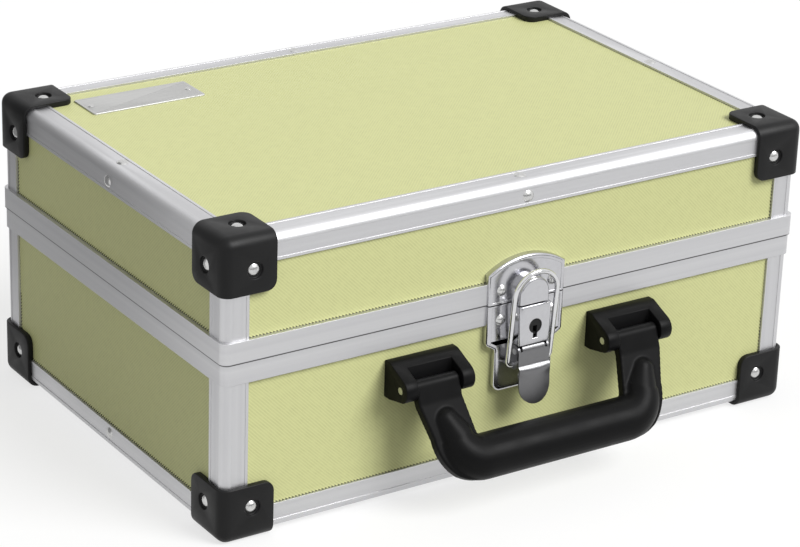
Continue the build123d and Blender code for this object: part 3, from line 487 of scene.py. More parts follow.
def rod(radius, length, stand=Matrix()):
    """A round bar through the origin, upright unless it is turned and moved."""
    shape = bmesh.new()
    bmesh.ops.create_cone(
        shape,
        cap_ends=True,
        segments=40,
        radius1=radius,
        radius2=radius,
        depth=length,
        matrix=stand,
    )
    return shape


def corner_edges(shape, is_near):
    """The edges of a box whose both ends are near, on two of the three axes."""
    return [
        edge
        for edge in shape.edges
        if sum(all(is_near(vert.co[axis]) for vert in edge.verts) for axis in range(3)) == 2
    ]


def round_over(shape, edges, radius, segments):
    """Round the given edges of a bmesh."""
    bmesh.ops.bevel(
        shape,
        geom=edges,
        offset=radius,
        segments=segments,
        profile=0.5,
        affect="EDGES",
        offset_type="OFFSET",
        clamp_overlap=False,
        material=-1,
    )


def bake_modifiers(body):
    """Make what the modifiers show the mesh of a piece."""
    bpy.context.view_layer.update()
    shown = body.evaluated_get(bpy.context.evaluated_depsgraph_get())
    result = bpy.data.meshes.new_from_object(shown)
    body.modifiers.clear()
    body.data = result


def carve(body, cutters):
    """Cut the given bmesh shapes out of an object one after another."""
    for shape in cutters:
        tool = loose_object(shape, "cutter")
        cut = body.modifiers.new("cut", "BOOLEAN")
        cut.operation = "DIFFERENCE"
        cut.solver = "EXACT"
        cut.object = tool
        bake_modifiers(body)
        bpy.data.objects.remove(tool)


def soft_edge(body, width, segments, angle):
    """A bevel over all the sharp edges of a piece."""
    bevel = body.modifiers.new("soft_edges", "BEVEL")
    bevel.width = width
    bevel.segments = segments
    bevel.limit_method = "ANGLE"
    bevel.angle_limit = radians(angle)
    bevel.harden_normals = False
    bevel.use_clamp_overlap = True


def take_shape(body):
    """An object goes, and its mesh becomes a bmesh again."""
    shape = bmesh.new()
    shape.from_mesh(body.data)
    bpy.data.objects.remove(body)
    return shape


def seat(piece, name, rides_on, material, stands_for, smooth_angle=35):
    """Put a finished piece in its place in metres, with its finish and the body it rides on."""
    body = loose_object(piece, name) if isinstance(piece, bmesh.types.BMesh) else piece
    bake_modifiers(body)
    body.name = name
    body.data.name = name
    body.data.transform(Matrix.Scale(MM, 4))
    body.data.materials.clear()
    body.data.materials.append(material)
    for polygon in body.data.polygons:
        polygon.use_smooth = True
        polygon.material_index = 0
    body.data.set_sharp_from_angle(angle=radians(smooth_angle))
    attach(body, rides_on)
    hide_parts(stands_for)
    return body


corner_plastic = black_plastic("corner_plastic", 0.007, 0.46, 0.22)
cap_shape = box_mesh((0, 0, 0), (protector_size,) * 3)
leaf_corners = corner_edges(cap_shape, lambda place: place > protector_size - hair)
round_over(cap_shape, leaf_corners, protector_leaf_radius, 6)
outer_edges = corner_edges(cap_shape, lambda place: place < hair)
round_over(cap_shape, outer_edges, protector_edge_radius, 8)
corner_cap = loose_object(cap_shape, "corner_cap")
room_shape = box_mesh((protector_thickness,) * 3, (40, 40, 40))
room_edges = corner_edges(room_shape, lambda place: place < protector_thickness + hair)
round_over(room_shape, room_edges, protector_edge_radius - protector_thickness, 5)
room = loose_object(room_shape, "room")
leaf_pads = []
rivet_pits = []
for axis in range(3):
    pad_low = [leg_reach] * 3
    pad_high = [60.0] * 3
    pad_low[axis] = -5.0
    pad_high[axis] = face_depth
    leaf_pads.append(box_mesh(pad_low, pad_high))
    pit = rod(counterbore_radius, 2 * counterbore_depth)
    pit_place = [protector_rivet_in] * 3
    pit_place[axis] = 0
    aim(pit, [float(other == axis) for other in range(3)], pit_place)
    rivet_pits.append(pit)
carve(room, leaf_pads)
carve(corner_cap, [take_shape(room)] + rivet_pits)
soft_edge(corner_cap, protector_soft_edge, 3, 40)
bake_modifiers(corner_cap)
corner_cap_mesh = corner_cap.data
bpy.data.objects.remove(corner_cap)
for half, z, up in (("base", 0.0, 1), ("lid", case_height, -1)):
    for end, y, inward in (("front", front_y, 1), ("back", back_y, -1)):
        for side, x, sideways in (("left", -half_width, 1), ("right", half_width, -1)):
            cap = bmesh.new()
            cap.from_mesh(corner_cap_mesh)
            bmesh.ops.scale(cap, vec=(sideways, inward, up), verts=cap.verts)
            bmesh.ops.translate(cap, vec=(x, y, z), verts=cap.verts)
            if sideways * inward * up < 0:
                bmesh.ops.reverse_faces(cap, faces=cap.faces)
            name = f"{half}_protector_{end}_{side}"
            seat(cap, name + "_cap", half, corner_plastic, name)

# Rivets: bright steel domes that hold the protectors, the extrusions and the fittings.
# Those on the protectors are sunk in their holes, and the others stand on the metal.
rivet_head_radius = 3.1
rivet_head_height = 1.25
rivet_skirt = 0.15
band_depth = 2.15
edge_rivet_in = 10.1


def worn_metal(name, scale, detail, dark, light, **finish):
    """Bare metal whose tone wanders between two; its finish is set on its surface."""
    material, tree, shader = new_material(name)
    wear = noise(tree, object_place(tree), scale, detail)
    set_inputs(tree, shader, {"Base Color": mix_colours(tree, wear, dark, light)})
    for key, value in finish.items():
        shader.inputs[key].default_value = value
    return material, tree, shader, wear


def add_to(whole, shape):
    """Put one bmesh into another."""
    data = bpy.data.meshes.new("part")
    shape.to_mesh(data)
    shape.free()
    whole.from_mesh(data)
    bpy.data.meshes.remove(data)


def add_dome(heads, place, facing, radius, height):
    """A domed rivet head on its seat, spun from a quarter profile."""
    sphere = (radius * radius + height * height) / (2 * height)
    profile = [Vector((0, 0, height))]
    steps = 5
    half_turn = asin(radius / sphere)
    for step in range(1, steps + 1):
        turn = half_turn * step / steps
        profile.append(Vector((sphere * sin(turn), 0, height - sphere + sphere * cos(turn))))
    profile.append(Vector((radius, 0, -rivet_skirt)))
    head = bmesh.new()
    points = [head.verts.new(point) for point in profile]
    lines = [head.edges.new(pair) for pair in zip(points, points[1:])]
    bmesh.ops.spin(
        head,
        geom=points + lines,
        cent=(0, 0, 0),
        axis=(0, 0, 1),
        angle=2 * pi,
        steps=24,
        use_merge=True,
    )
    bmesh.ops.remove_doubles(head, verts=head.verts, dist=0.001)
    bmesh.ops.recalc_face_normals(head, faces=head.faces)
    aim(head, facing, place)
    if sum(face.normal.dot(Vector(facing)) for face in head.faces) < 0:
        bmesh.ops.reverse_faces(head, faces=head.faces)
    add_to(heads, head)


def face_spot(face, a, b, depth):
    """A place on one face of the case, at a depth below the protectors, and the way out."""
    sign = -1 if face in ("front", "left", "bottom") else 1
    if face in ("front", "back"):
        return (a, front_y + depth if sign < 0 else back_y - depth, b), (0, sign, 0)
    if face in ("left", "right"):
        return (sign * (half_width - depth), a, b), (sign, 0, 0)
    return (a, b, depth if sign < 0 else case_height - depth), (0, 0, sign)


rivet_steel, rivet_tree, rivet_shader, rivet_wear = worn_metal(
    "rivet_steel",
    700.0,
    4.0,
    (0.46, 0.46, 0.46, 1),
    (0.72, 0.72, 0.71, 1),
    Metallic=1.0,
    Roughness=0.26,
)
set_inputs(rivet_tree, rivet_shader, {"Normal": bump(rivet_tree, rivet_wear, 0.2, 0.05)})
for half, cap_face in (("base", "bottom"), ("lid", "top")):
    corner_level = protector_rivet_in
    edge_level = edge_rivet_in
    if half == "lid":
        corner_level = case_height - corner_level
        edge_level = case_height - edge_level
    x_in = half_width - protector_rivet_in
    y_in = half_depth - protector_rivet_in
    spots = []
    for sign in (-1, 1):
        for face in ("front", "back"):
            spots.append((face, sign * x_in, corner_level, counterbore_depth))
        for face in ("left", "right"):
            spots.append((face, middle_y + sign * y_in, corner_level, counterbore_depth))
        for other in (-1, 1):
            spots.append((cap_face, sign * x_in, middle_y + other * y_in, counterbore_depth))
        spots.append((cap_face, 0, middle_y + sign * (half_depth - edge_rivet_in), band_depth))
        spots.append((cap_face, sign * (half_width - edge_rivet_in), middle_y, band_depth))
    for face, along in (("front", 0), ("back", 0), ("left", middle_y), ("right", middle_y)):
        spots.append((face, along, edge_level, band_depth))
    heads = bmesh.new()
    for spot in spots:
        add_dome(heads, *face_spot(*spot), rivet_head_radius, rivet_head_height)
    name = f"{half}_frame_rivets"
    seat(heads, name + "_domes", half, rivet_steel, name)

# Latch plates: chromed sheet steel, drawn with rolled edges. The strike plate stands on the
# lid and carries the catch boss, and the base plate carries the lock and the lever's ears.
panel_face = front_y + face_depth
plate_half = 22.0
plate_off = 3.8
plate_roll = 1.5
plate_border = 0.9
plate_step = 0.15


def off(distance):
    """The y at a distance off the front panel."""
    return panel_face - distance


def chrome(name, tone, rough):
    """Bright chrome with faint wipe marks and a slight ripple."""
    material, tree, shader = new_material(name)
    place = object_place(tree)
    wipe = noise(tree, place, 420.0, 5.0)
    dark = tuple(value * 0.92 for value in tone) + (1,)
    light = tuple(value * 1.06 for value in tone) + (1,)
    set_inputs(
        tree,
        shader,
        {
            "Base Color": mix_colours(tree, wipe, dark, light),
            "Roughness": spread(tree, wipe, rough, rough + 0.06),
            "Normal": bump(tree, noise(tree, place, 120.0, 1.0), 0.3, 0.25),
            "Metallic": 1.0,
        },
    )
    return material


def arc(centre, radius, start, stop, steps):
    """Points on an arc in two dimensions, with its angles in degrees."""
    turns = [radians(start + (stop - start) * step / steps) for step in range(steps + 1)]
    return [(centre[0] + radius * cos(turn), centre[1] + radius * sin(turn)) for turn in turns]


def of_kind(items, kind):
    """The vertices or the edges among what an operator made."""
    return [item for item in items if isinstance(item, kind)]


def prism(outline, way):
    """A flat outline drawn out along a way."""
    shape = bmesh.new()
    base = shape.faces.new([shape.verts.new(point) for point in outline])
    grown = bmesh.ops.extrude_face_region(shape, geom=[base])["geom"]
    bmesh.ops.translate(shape, vec=way, verts=of_kind(grown, bmesh.types.BMVert))
    bmesh.ops.recalc_face_normals(shape, faces=shape.faces)
    return shape


def front_prism(outline, near, far):
    """A prism on the front, its outline in x and z, between two distances off the panel."""
    return prism([(x, off(near), z) for x, z in outline], (0, near - far, 0))


def side_prism(outline, start, stop):
    """A prism across the case, its outline in distance off the panel and height."""
    return prism([(start, off(out), z) for out, z in outline], (stop - start, 0, 0))


def lies_at(part, at):
    """Whether an edge or a face lies at a distance off the panel."""
    return all(abs(vert.co.y - off(at)) < hair for vert in part.verts)


def roll_front(shape, at, radius, straight):
    """Round the front rim of a prism, except the edge of it at one straight end."""
    rim = [
        edge
        for edge in shape.edges
        if any(lies_at(face, at) for face in edge.link_faces)
        and any(abs(vert.co.z - straight) > hair for vert in edge.verts)
    ]
    round_over(shape, rim, radius, 5)


def inset(shape, face, border, sink=0):
    """A border inside the rim of a face, and the face sunk by a depth."""
    bmesh.ops.inset_region(
        shape,
        faces=[face],
        thickness=border,
        depth=-sink,
        use_even_offset=True,
        use_boundary=True,
    )


def pressed_plate(outline, straight):
    """A plate whose front rim is rolled and whose face is pressed back inside a border."""
    shape = front_prism(outline, 0, plate_off)
    roll_front(shape, plate_off, plate_roll, straight)
    for border, sink in ((plate_border, 0), (plate_step, plate_step)):
        flat = [face for face in shape.faces if lies_at(face, plate_off)]
        inset(shape, max(flat, key=lambda face: face.calc_area()), border, sink)
    return shape


def gather(*shapes):
    """Several bmesh shapes become one."""
    whole = bmesh.new()
    for shape in shapes:
        add_to(whole, shape)
    return whole


plate_chrome = chrome("plate_chrome", (0.54, 0.54, 0.56), 0.15)
strike_low = 90.3
strike_corner = 105.5
strike_top = 112.6
strike_rise = strike_top - strike_corner
strike_radius = (plate_half**2 + strike_rise**2) / (2 * strike_rise)
strike_turn = 90 - asin(plate_half / strike_radius) * 180 / pi
strike_outline = arc(
    (0, strike_top - strike_radius), strike_radius, strike_turn, 180 - strike_turn, 28
) + [(-plate_half, strike_low), (plate_half, strike_low)]

boss_half = 8.4
boss_top = 103.3
boss_off = 10.6
boss_waist_in = 1.1
boss_roll = 1.3


def boss_ring(inset_by):
    """The catch boss from the front: straight sides and a round top."""
    reach = boss_half - inset_by
    top = arc((0, boss_top - boss_half), reach, 0, 180, 24)
    return top + [(-reach, strike_low), (reach, strike_low)]


boss_front = front_prism(boss_ring(0), 8.7, boss_off)
roll_front(boss_front, boss_off, boss_roll, strike_low)
strike_shape = gather(
    pressed_plate(strike_outline, strike_low),
    front_prism(boss_ring(0), 1.0, 5.7),
    front_prism(boss_ring(boss_waist_in), 5.0, 9.5),
    boss_front,
)
seat(strike_shape, "strike_plate", "lid", plate_chrome, "latch_strike_plate", 30)

base_plate_top = 89.7
base_plate_low = 44.5
base_plate_narrow = 16.8
shoulder_low = 65.5
shoulder_high = 70.5
shoulder_shift = 0.6
shoulder_round = 3.0
corner_round = 4.0
wide_in = plate_half - shoulder_round
narrow_out = base_plate_narrow + shoulder_round
foot_in = base_plate_narrow - corner_round
high_bend = shoulder_high + shoulder_shift
low_bend = shoulder_low - shoulder_shift
foot = base_plate_low + corner_round
base_outline = (
    [(plate_half, base_plate_top), (-plate_half, base_plate_top)]
    + arc((-wide_in, high_bend), shoulder_round, 180, 222, 5)
    + arc((-narrow_out, low_bend), shoulder_round, 42, 0, 5)
    + arc((-foot_in, foot), corner_round, 180, 270, 7)
    + arc((foot_in, foot), corner_round, 270, 360, 7)
    + arc((narrow_out, low_bend), shoulder_round, 180, 138, 5)
    + arc((wide_in, high_bend), shoulder_round, -42, 0, 5)
)
pivot_off = 8.3
pivot_height = 66.2
ear_radius = 2.3
ear_outer = 7.6
ear_inner = 6.6
ear_root = 3.0
ear_outline = arc((pivot_off, pivot_height), ear_radius, -90, 90, 12) + [
    (ear_root, pivot_height + ear_radius),
    (ear_root, pivot_height - ear_radius),
]
ears = [side_prism(ear_outline, side * ear_outer, side * ear_inner) for side in (-1, 1)]
base_shape = gather(pressed_plate(base_outline, base_plate_top), *ears)
seat(base_shape, "base_plate", "base", plate_chrome, "latch_base_plate", 30)

# Lock: a drawn chrome cover with a keyhole, riveted over a lock whose black plug turns
# with the key.
housing_half = 9.0
housing_low = 70.0
housing_off = 12.0
housing_roll = 1.4
housing_wall = 1.0
housing_soft_edge = 0.25
keyhole_height = 79.1
keyhole_radius = 3.6
keyhole_near = 8.0
keyhole_far = 14.0
key_slot_half = 1.15
key_slot_reach = 6.2
housing_outline = [
    (housing_half, base_plate_top),
    (-housing_half, base_plate_top),
    (-housing_half, housing_low),
    (housing_half, housing_low),
]
housing = front_prism(housing_outline, plate_off - plate_step, housing_off)
housing_sides = [
    edge
    for edge in housing.edges
    if abs(edge.verts[0].co.x - edge.verts[1].co.x) < hair and lies_at(edge, housing_off)
]
round_over(housing, housing_sides, housing_roll, 5)
cover = loose_object(housing, "lock_cover")
slot_turn = asin(key_slot_half / keyhole_radius) * 180 / pi
keyhole_outline = arc(
    (0, keyhole_height), keyhole_radius, -90 + slot_turn, 270 - slot_turn, 30
) + [
    (-key_slot_half, keyhole_height - key_slot_reach),
    (key_slot_half, keyhole_height - key_slot_reach),
]
lock_room = box_mesh(
    (-housing_half + housing_wall, off(housing_off - housing_wall), housing_low - 3),
    (housing_half - housing_wall, off(0), base_plate_top - housing_wall),
)
carve(cover, [lock_room, front_prism(keyhole_outline, keyhole_near, keyhole_far)])
soft_edge(cover, housing_soft_edge, 2, 40)
seat(cover, "lock_cover", "base", plate_chrome, "lock_housing", 30)

plug_black, plug_tree, plug_shader, plug_wear = worn_metal(
    "plug_black", 900.0, 3.0, (0.006, 0.006, 0.006, 1), (0.02, 0.02, 0.02, 1), Roughness=0.5
)
plug_shader.inputs["Specular IOR Level"].default_value = 0.2
paint("lock_plug", plug_black)
soften(["lock_plug"])

# Lever: a pressed chrome channel that turns on a pin between the ears, rolled over the pin
# at the top and drawn out below into a rounded tongue for the finger.
lever_half = 8.8
lever_lip_half = 6.3
lever_lip_from = pivot_height + 0.5
lever_sheet = 1.0
lever_tip = 40.0
lever_tip_half = 0.4
lever_columns = 12
barrel_radius = 3.5
tongue_round = lever_tip + lever_half
crown_start = 58.2
crown_run = 3.0
crown_depth = 0.9
cheek_round = 2.6
loop_off = 7.6
loop_height = 59.4
lever_lip = [
    (pivot_off + out, pivot_height + up) for out, up in arc((0, 0), barrel_radius, 70, 0, 6)
]
lever_web = [(11.9, 64.5), (12.0, 62.0), (12.1, 59.9), (12.35, 59.2)]
lever_ledge = [(12.9, 58.5), (13.5, 57.9), (13.8, 57.0), (13.95, 55.0)]
lever_tongue = [(14.1, 52.0), (14.3, 49.0), (14.55, 46.5), (14.8, 44.2), (15.05, 42.4)]
lever_end = [(15.25, 41.0), (15.35, 40.25), (15.4, 40.02)]
lever_profile = lever_lip + lever_web + lever_ledge + lever_tongue + lever_end
lever_rows = len(lever_profile) - 1
lever_shape = bmesh.new()
bmesh.ops.create_grid(lever_shape, x_segments=lever_columns, y_segments=lever_rows, size=1.0)
for vert in lever_shape.verts:
    out, up = lever_profile[round((1 - vert.co.y) / 2 * lever_rows)]
    width = lever_half
    if up < tongue_round:
        width = max(lever_tip_half, (lever_half**2 - (tongue_round - up) ** 2) ** 0.5)
    if up > lever_lip_from:
        width = lever_lip_half
    x = vert.co.x * width
    crown = 0.0
    if up <= crown_start:
        crown = crown_depth * min(1.0, (crown_start - up) / crown_run)
    vert.co = Vector((x, off(out - lever_sheet / 2 - crown * (x / lever_half) ** 2), up))
bmesh.ops.recalc_face_normals(lever_shape, faces=lever_shape.faces)
if sum(face.normal.y for face in lever_shape.faces) > 0:
    bmesh.ops.reverse_faces(lever_shape, faces=lever_shape.faces)
sheet_object = loose_object(lever_shape, "lever_sheet")
thick = sheet_object.modifiers.new("sheet", "SOLIDIFY")
thick.thickness = lever_sheet
thick.offset = 0.0
bake_modifiers(sheet_object)
cheek_outline = (
    arc((pivot_off, pivot_height), barrel_radius - 0.1, 0, 175, 14)
    + arc((loop_off, loop_height), cheek_round, 185, 290, 8)
    + [(11.9, loop_height)]
)
cheeks = [
    side_prism(cheek_outline, side * lever_half, side * (lever_half - lever_sheet))
    for side in (-1, 1)
]
# the lever's chrome is a darker copy of the plate chrome: painted shade that stands in for the
# dark reflections on the lever
dark_painted_lever_chrome = chrome("dark_painted_lever_chrome", (0.20, 0.20, 0.205), 0.28)
lever_shapes = gather(take_shape(sheet_object), *cheeks)
seat(lever_shapes, "finger_lever", "lever", dark_painted_lever_chrome, "latch_lever", 38)

# Draw loop: one length of chromed wire bent round, whose ends turn in through the lever's
# cheeks. It stands round the catch boss and pulls the lid down.
wire_radius = 1.3
loop_half = 12.15
loop_long = 47.6
loop_top_off = 12.2
loop_bend = 2.2
loop_end = 7.4
loop_foot = loop_half - loop_bend
loop_up = Vector((0, loop_off - loop_top_off, loop_long))
loop_leg = loop_up.length - loop_half
x_way = Vector((1, 0, 0))
up_way = loop_up.normalized()
loop_axes = Matrix((x_way, up_way, x_way.cross(up_way))).transposed()
wire = bmesh.new()
bmesh.ops.create_circle(wire, cap_ends=False, segments=16, radius=wire_radius)
wire_turn = Matrix.Rotation(radians(90), 3, "Y")
bmesh.ops.rotate(wire, cent=(0, 0, 0), matrix=wire_turn, verts=wire.verts)
bmesh.ops.translate(wire, vec=(loop_end, 0, 0), verts=wire.verts)
ring = list(wire.edges)


def draw_on(shape, ring, move):
    """Carry the open end of a tube on by a move, and give its new end."""
    grown = bmesh.ops.extrude_edge_only(shape, edges=ring)["geom"]
    bmesh.ops.transform(shape, matrix=move, verts=of_kind(grown, bmesh.types.BMVert))
    return of_kind(grown, bmesh.types.BMEdge)


def bend_on(shape, ring, centre, turn, steps):
    """Carry the open end of a tube round a bend in its flat plane."""
    grown = bmesh.ops.spin(
        shape, geom=ring, cent=centre, axis=(0, 0, 1), angle=turn, steps=steps
    )
    return of_kind(grown["geom_last"], bmesh.types.BMEdge)


ring = draw_on(wire, ring, Matrix.Translation((loop_foot - loop_end, 0, 0)))
ring = bend_on(wire, ring, (loop_foot, loop_bend, 0), radians(90), 6)
ring = draw_on(wire, ring, Matrix.Translation((0, loop_leg - loop_bend, 0)))
ring = bend_on(wire, ring, (0, loop_leg, 0), radians(180), 28)
ring = draw_on(wire, ring, Matrix.Translation((0, loop_bend - loop_leg, 0)))
ring = bend_on(wire, ring, (-loop_foot, loop_bend, 0), radians(90), 6)
draw_on(wire, ring, Matrix.Translation((loop_foot - loop_end, 0, 0)))
bmesh.ops.holes_fill(wire, edges=wire.edges)
bmesh.ops.remove_doubles(wire, verts=wire.verts, dist=0.001)
bmesh.ops.recalc_face_normals(wire, faces=wire.faces)
wire.transform(Matrix.Translation((0, off(loop_off), loop_height)) @ loop_axes.to_4x4())
loop_chrome = chrome("loop_chrome", (0.68, 0.68, 0.69), 0.07)
seat(wire, "wire_loop", "loop", loop_chrome, "draw_loop", 50)

# Fitting rivets: the same bright domes hold the latch plates, the hinge leaves and the
# nameplate. Each half of the case carries its own.
latch_rivet_across = 14.5
latch_rivet_height = 82.0
low_rivet_height = 50.0
strike_rivet_height = 97.2
latch_rivet_radius = 2.8
latch_rivet_head = 1.35
hinge_across = 85.0
hinge_rivet_across = 11.0
hinge_rivet_from_seam = 18.5
hinge_leaf = 1.2
name_across = -104.7
name_along = 92.586
name_width = 62.0
name_depth = 22.6
name_thickness = 0.8
name_rivet_spacing = 54.0
name_rivet_radius = 1.6
name_rivet_head = 0.6
latch_rivets = {
    "base": [
        (-latch_rivet_across, latch_rivet_height),
        (latch_rivet_across, latch_rivet_height),
        (0, low_rivet_height),
    ],
    "lid": [(-latch_rivet_across, strike_rivet_height), (latch_rivet_across, strike_rivet_height)],
}
for half, up in (("base", -1), ("lid", 1)):
    heads = bmesh.new()
    for x, z in latch_rivets[half]:
        place = (x, off(plate_off), z)
        add_dome(heads, place, (0, -1, 0), latch_rivet_radius, latch_rivet_head)
    hinge_level = seam_height + up * hinge_rivet_from_seam
    for hinge in (-1, 1):
        for side in (-1, 1):
            x = hinge * hinge_across + side * hinge_rivet_across
            spot = face_spot("back", x, hinge_level, face_depth - hinge_leaf)
            add_dome(heads, *spot, rivet_head_radius, rivet_head_height)
    if half == "lid":
        for side in (-1, 1):
            x = name_across + side * name_rivet_spacing / 2
            spot = face_spot("top", x, name_along, face_depth - name_thickness)
            add_dome(heads, *spot, name_rivet_radius, name_rivet_head)
    name = f"{half}_fitting_rivets"
    seat(heads, name + "_domes", half, rivet_steel, name)

# Lever pin, handle pins and bracket screws: plain bright steel. The pins' ends show in the
# cheeks of the brackets, and the screws' heads inside the case.
pin_steel = worn_metal(
    "pin_steel",
    700.0,
    4.0,
    (0.42, 0.42, 0.42, 1),
    (0.66, 0.66, 0.65, 1),
    Metallic=1.0,
    Roughness=0.32,
)[0]
for node in ("lever_pin", "handle_pins", "bracket_screws"):
    paint(node, pin_steel)
    soften([node])

# Handle brackets: moulded black plastic. Each is a block with a round nose that grips the
# pin in its two cheeks, and a web behind the arm that holds the handle off the panel.
bracket_across = 57.7
bracket_half = 19.0
bracket_low = 55.2
bracket_high = 73.8
bracket_flat = 4.35
bracket_soft_edge = 0.75
nose_radius = 6.0
pin_off = 13.8
pin_height = 63.4
pin_hole_radius = 1.8
slot_half = 12.3
slot_floor = 59.0
block_off = 8.7
web_top_off = 13.2
web_foot_off = 18.28
web_foot = 49.2
past_nose = 28.0
past_block = 82.0
past_cheek = 25.0
handle_black = black_plastic("handle_black", 0.0045, 0.42, 0.09)
bracket_points = [
    (0, bracket_low),
    (0, bracket_high),
    (bracket_flat, bracket_high),
    (bracket_flat, bracket_low),
] + arc((pin_off, pin_height), nose_radius, 0, 354, 59)
bracket_hull = [bracket_points[index] for index in geometry.convex_hull_2d(bracket_points)]
bracket_slot = [
    (block_off, past_block),
    (block_off, slot_floor),
    (web_top_off, slot_floor),
    (web_foot_off, web_foot),
    (past_nose, web_foot),
    (past_nose, past_block),
]
pin_hole = arc((pin_off, pin_height), pin_hole_radius, 0, 352.5, 47)
for side, sign in (("left", -1), ("right", 1)):
    middle = sign * bracket_across
    block = side_prism(bracket_hull, middle - bracket_half, middle + bracket_half)
    slot = side_prism(bracket_slot, middle - slot_half, middle + slot_half)
    bore = side_prism(pin_hole, middle - past_cheek, middle + past_cheek)
    clevis = loose_object(block, "clevis")
    carve(clevis, [slot, bore])
    soft_edge(clevis, bracket_soft_edge, 3, 38)
    name = f"handle_bracket_{side}"
    seat(clevis, f"clevis_{side}", "base", handle_black, name, 36)

# Carrying handle: one black moulding. The flat arms turn on the pins, and a round grip rises
# out of them, swells through the bends and runs across, with a thin flange round each bend.
handle_tilt = radians(27.4)
handle_length = 38.7
eye_radius = 3.6
eye_from = -2.6
arm_inner = 45.7
arm_outer = 69.7
arm_straight = 9.0
arm_lean = 5.0
arm_thick = 2.5
grip_radius = 11.0
grip_thin = 6.2
grip_start = 17.0
grip_bend = 12.5
grip_dome = 0.85
line_steps = 6
bend_steps = 16
flange_lip = 1.0
flange_tuck = 0.8
flange_steps = 20
flange_fade_from = 11
grip_across = arm_outer - arm_lean - grip_radius
bend_start = handle_length - grip_bend
bend_across = grip_across - grip_bend
line_across = grip_across + arm_lean * (handle_length - grip_start) / (
    handle_length - arm_straight
)
line_way = Vector((grip_across - line_across, grip_start - bend_start, 0))
path_length = line_way.length + grip_bend * pi / 2


def section_frame(place, along, radius):
    """The frame of one round section of the grip, in the plane of the handle."""
    side = Vector((0, 0, 1)).cross(along)
    axes = Matrix((side, Vector((0, 0, 1)), along)).transposed()
    return Matrix.Translation(place) @ axes.to_4x4() @ Matrix.Scale(radius, 4)


def grip_width(run):
    """The radius of the grip at a length from its round end in the arm."""
    return grip_thin + (grip_radius - grip_thin) * sin(pi / 2 * run / path_length)


half_path = []
start_place = Vector((line_across, -grip_start, 0))
start_way = line_way.normalized()
for turn in (84, 70, 55, 40, 26, 12):
    ahead = grip_thin * grip_dome * sin(radians(turn))
    half_path.append((start_place - start_way * ahead, start_way, grip_thin * cos(radians(turn))))
for step in range(line_steps + 1):
    run = line_way.length * step / line_steps
    half_path.append((start_place + start_way * run, start_way, grip_width(run)))
for step in range(1, bend_steps + 1):
    turn = pi / 2 * step / bend_steps
    place = Vector((bend_across + grip_bend * cos(turn), -bend_start - grip_bend * sin(turn), 0))
    radius = grip_width(line_way.length + grip_bend * turn)
    half_path.append((place, Vector((-sin(turn), -cos(turn), 0)), radius))
whole_path = half_path + [(Vector((0, -handle_length, 0)), Vector((-1, 0, 0)), grip_radius)]
for place, along, radius in reversed(half_path):
    whole_path.append((Vector((-place.x, place.y, 0)), Vector((along.x, -along.y, 0)), radius))
tube = bmesh.new()
bmesh.ops.create_circle(tube, cap_ends=False, segments=32, radius=1.0)
last = section_frame(*whole_path[0])
bmesh.ops.transform(tube, matrix=last, verts=tube.verts)
ring = list(tube.edges)
for station in whole_path[1:]:
    here = section_frame(*station)
    ring = draw_on(tube, ring, here @ last.inverted())
    last = here
bmesh.ops.holes_fill(tube, edges=tube.edges)
bmesh.ops.recalc_face_normals(tube, faces=tube.faces)

arm_outline = [(arm_inner, 0), (arm_outer, 0), (arm_outer, -arm_straight)]
for step in range(flange_steps + 1):
    turn = pi / 2 * step / flange_steps
    fade = max(0.0, (step - flange_fade_from) / (flange_steps - flange_fade_from))
    reach = grip_bend + grip_radius + flange_lip - (flange_lip + flange_tuck) * fade
    arm_outline.append((bend_across + reach * cos(turn), -bend_start - reach * sin(turn)))
arm_outline += [
    (bend_across, -handle_length),
    (arm_inner - arm_lean, -handle_length),
    (arm_inner, -arm_straight),
]
eye_outline = (
    [(-arm_straight, -arm_thick), (eye_from, -arm_thick)]
    + arc((0, 0), eye_radius, 224, 450, 24)
    + [(-arm_straight, arm_thick)]
)
handle_shapes = [tube]
for sign in (-1, 1):
    arm_points = [(sign * x, y, -arm_thick) for x, y in arm_outline]
    eye_points = [(sign * arm_inner, y, z) for y, z in eye_outline]
    handle_shapes.append(prism(arm_points, (0, 0, 2 * arm_thick)))
    handle_shapes.append(prism(eye_points, (sign * (arm_outer - arm_inner), 0, 0)))
handle = loose_object(gather(*handle_shapes), "handle_moulding")
fuse = handle.modifiers.new("fuse", "REMESH")
fuse.mode = "VOXEL"
fuse.voxel_size = 0.55
ease = handle.modifiers.new("ease", "SMOOTH")
ease.factor = 0.55
ease.iterations = 5
bake_modifiers(handle)
pin_way = Matrix.Rotation(radians(90), 4, "Y")
pin_bores = [
    rod(pin_hole_radius, 30, Matrix.Translation((sign * bracket_across, 0, 0)) @ pin_way)
    for sign in (-1, 1)
]
carve(handle, pin_bores)
handle_axes = Matrix(
    (
        (1, 0, 0),
        (0, sin(handle_tilt), -cos(handle_tilt)),
        (0, cos(handle_tilt), sin(handle_tilt)),
    )
)
handle.data.transform(Matrix.Translation((0, off(pin_off), pin_height)) @ handle_axes.to_4x4())
seat(handle, "grip_handle", "handle", handle_black, "carrying_handle", 60)

# Hinges: nickel-plated steel leaves across the back seam. Their knuckles share one pin, and
# the wings between them stop the lid when it stands open.
hinge_steel, hinge_tree, hinge_shader, hinge_wear = worn_metal(
    "hinge_steel", 260.0, 5.0, (0.50, 0.49, 0.47, 1), (0.68, 0.67, 0.65, 1), Metallic=1.0
)
set_inputs(hinge_tree, hinge_shader, {"Roughness": spread(hinge_tree, hinge_wear, 0.24, 0.36)})
for node in ("hinge_base_leaves", "hinge_lid_leaves", "hinge_pins"):
    paint(node, hinge_steel)
    soften([node])

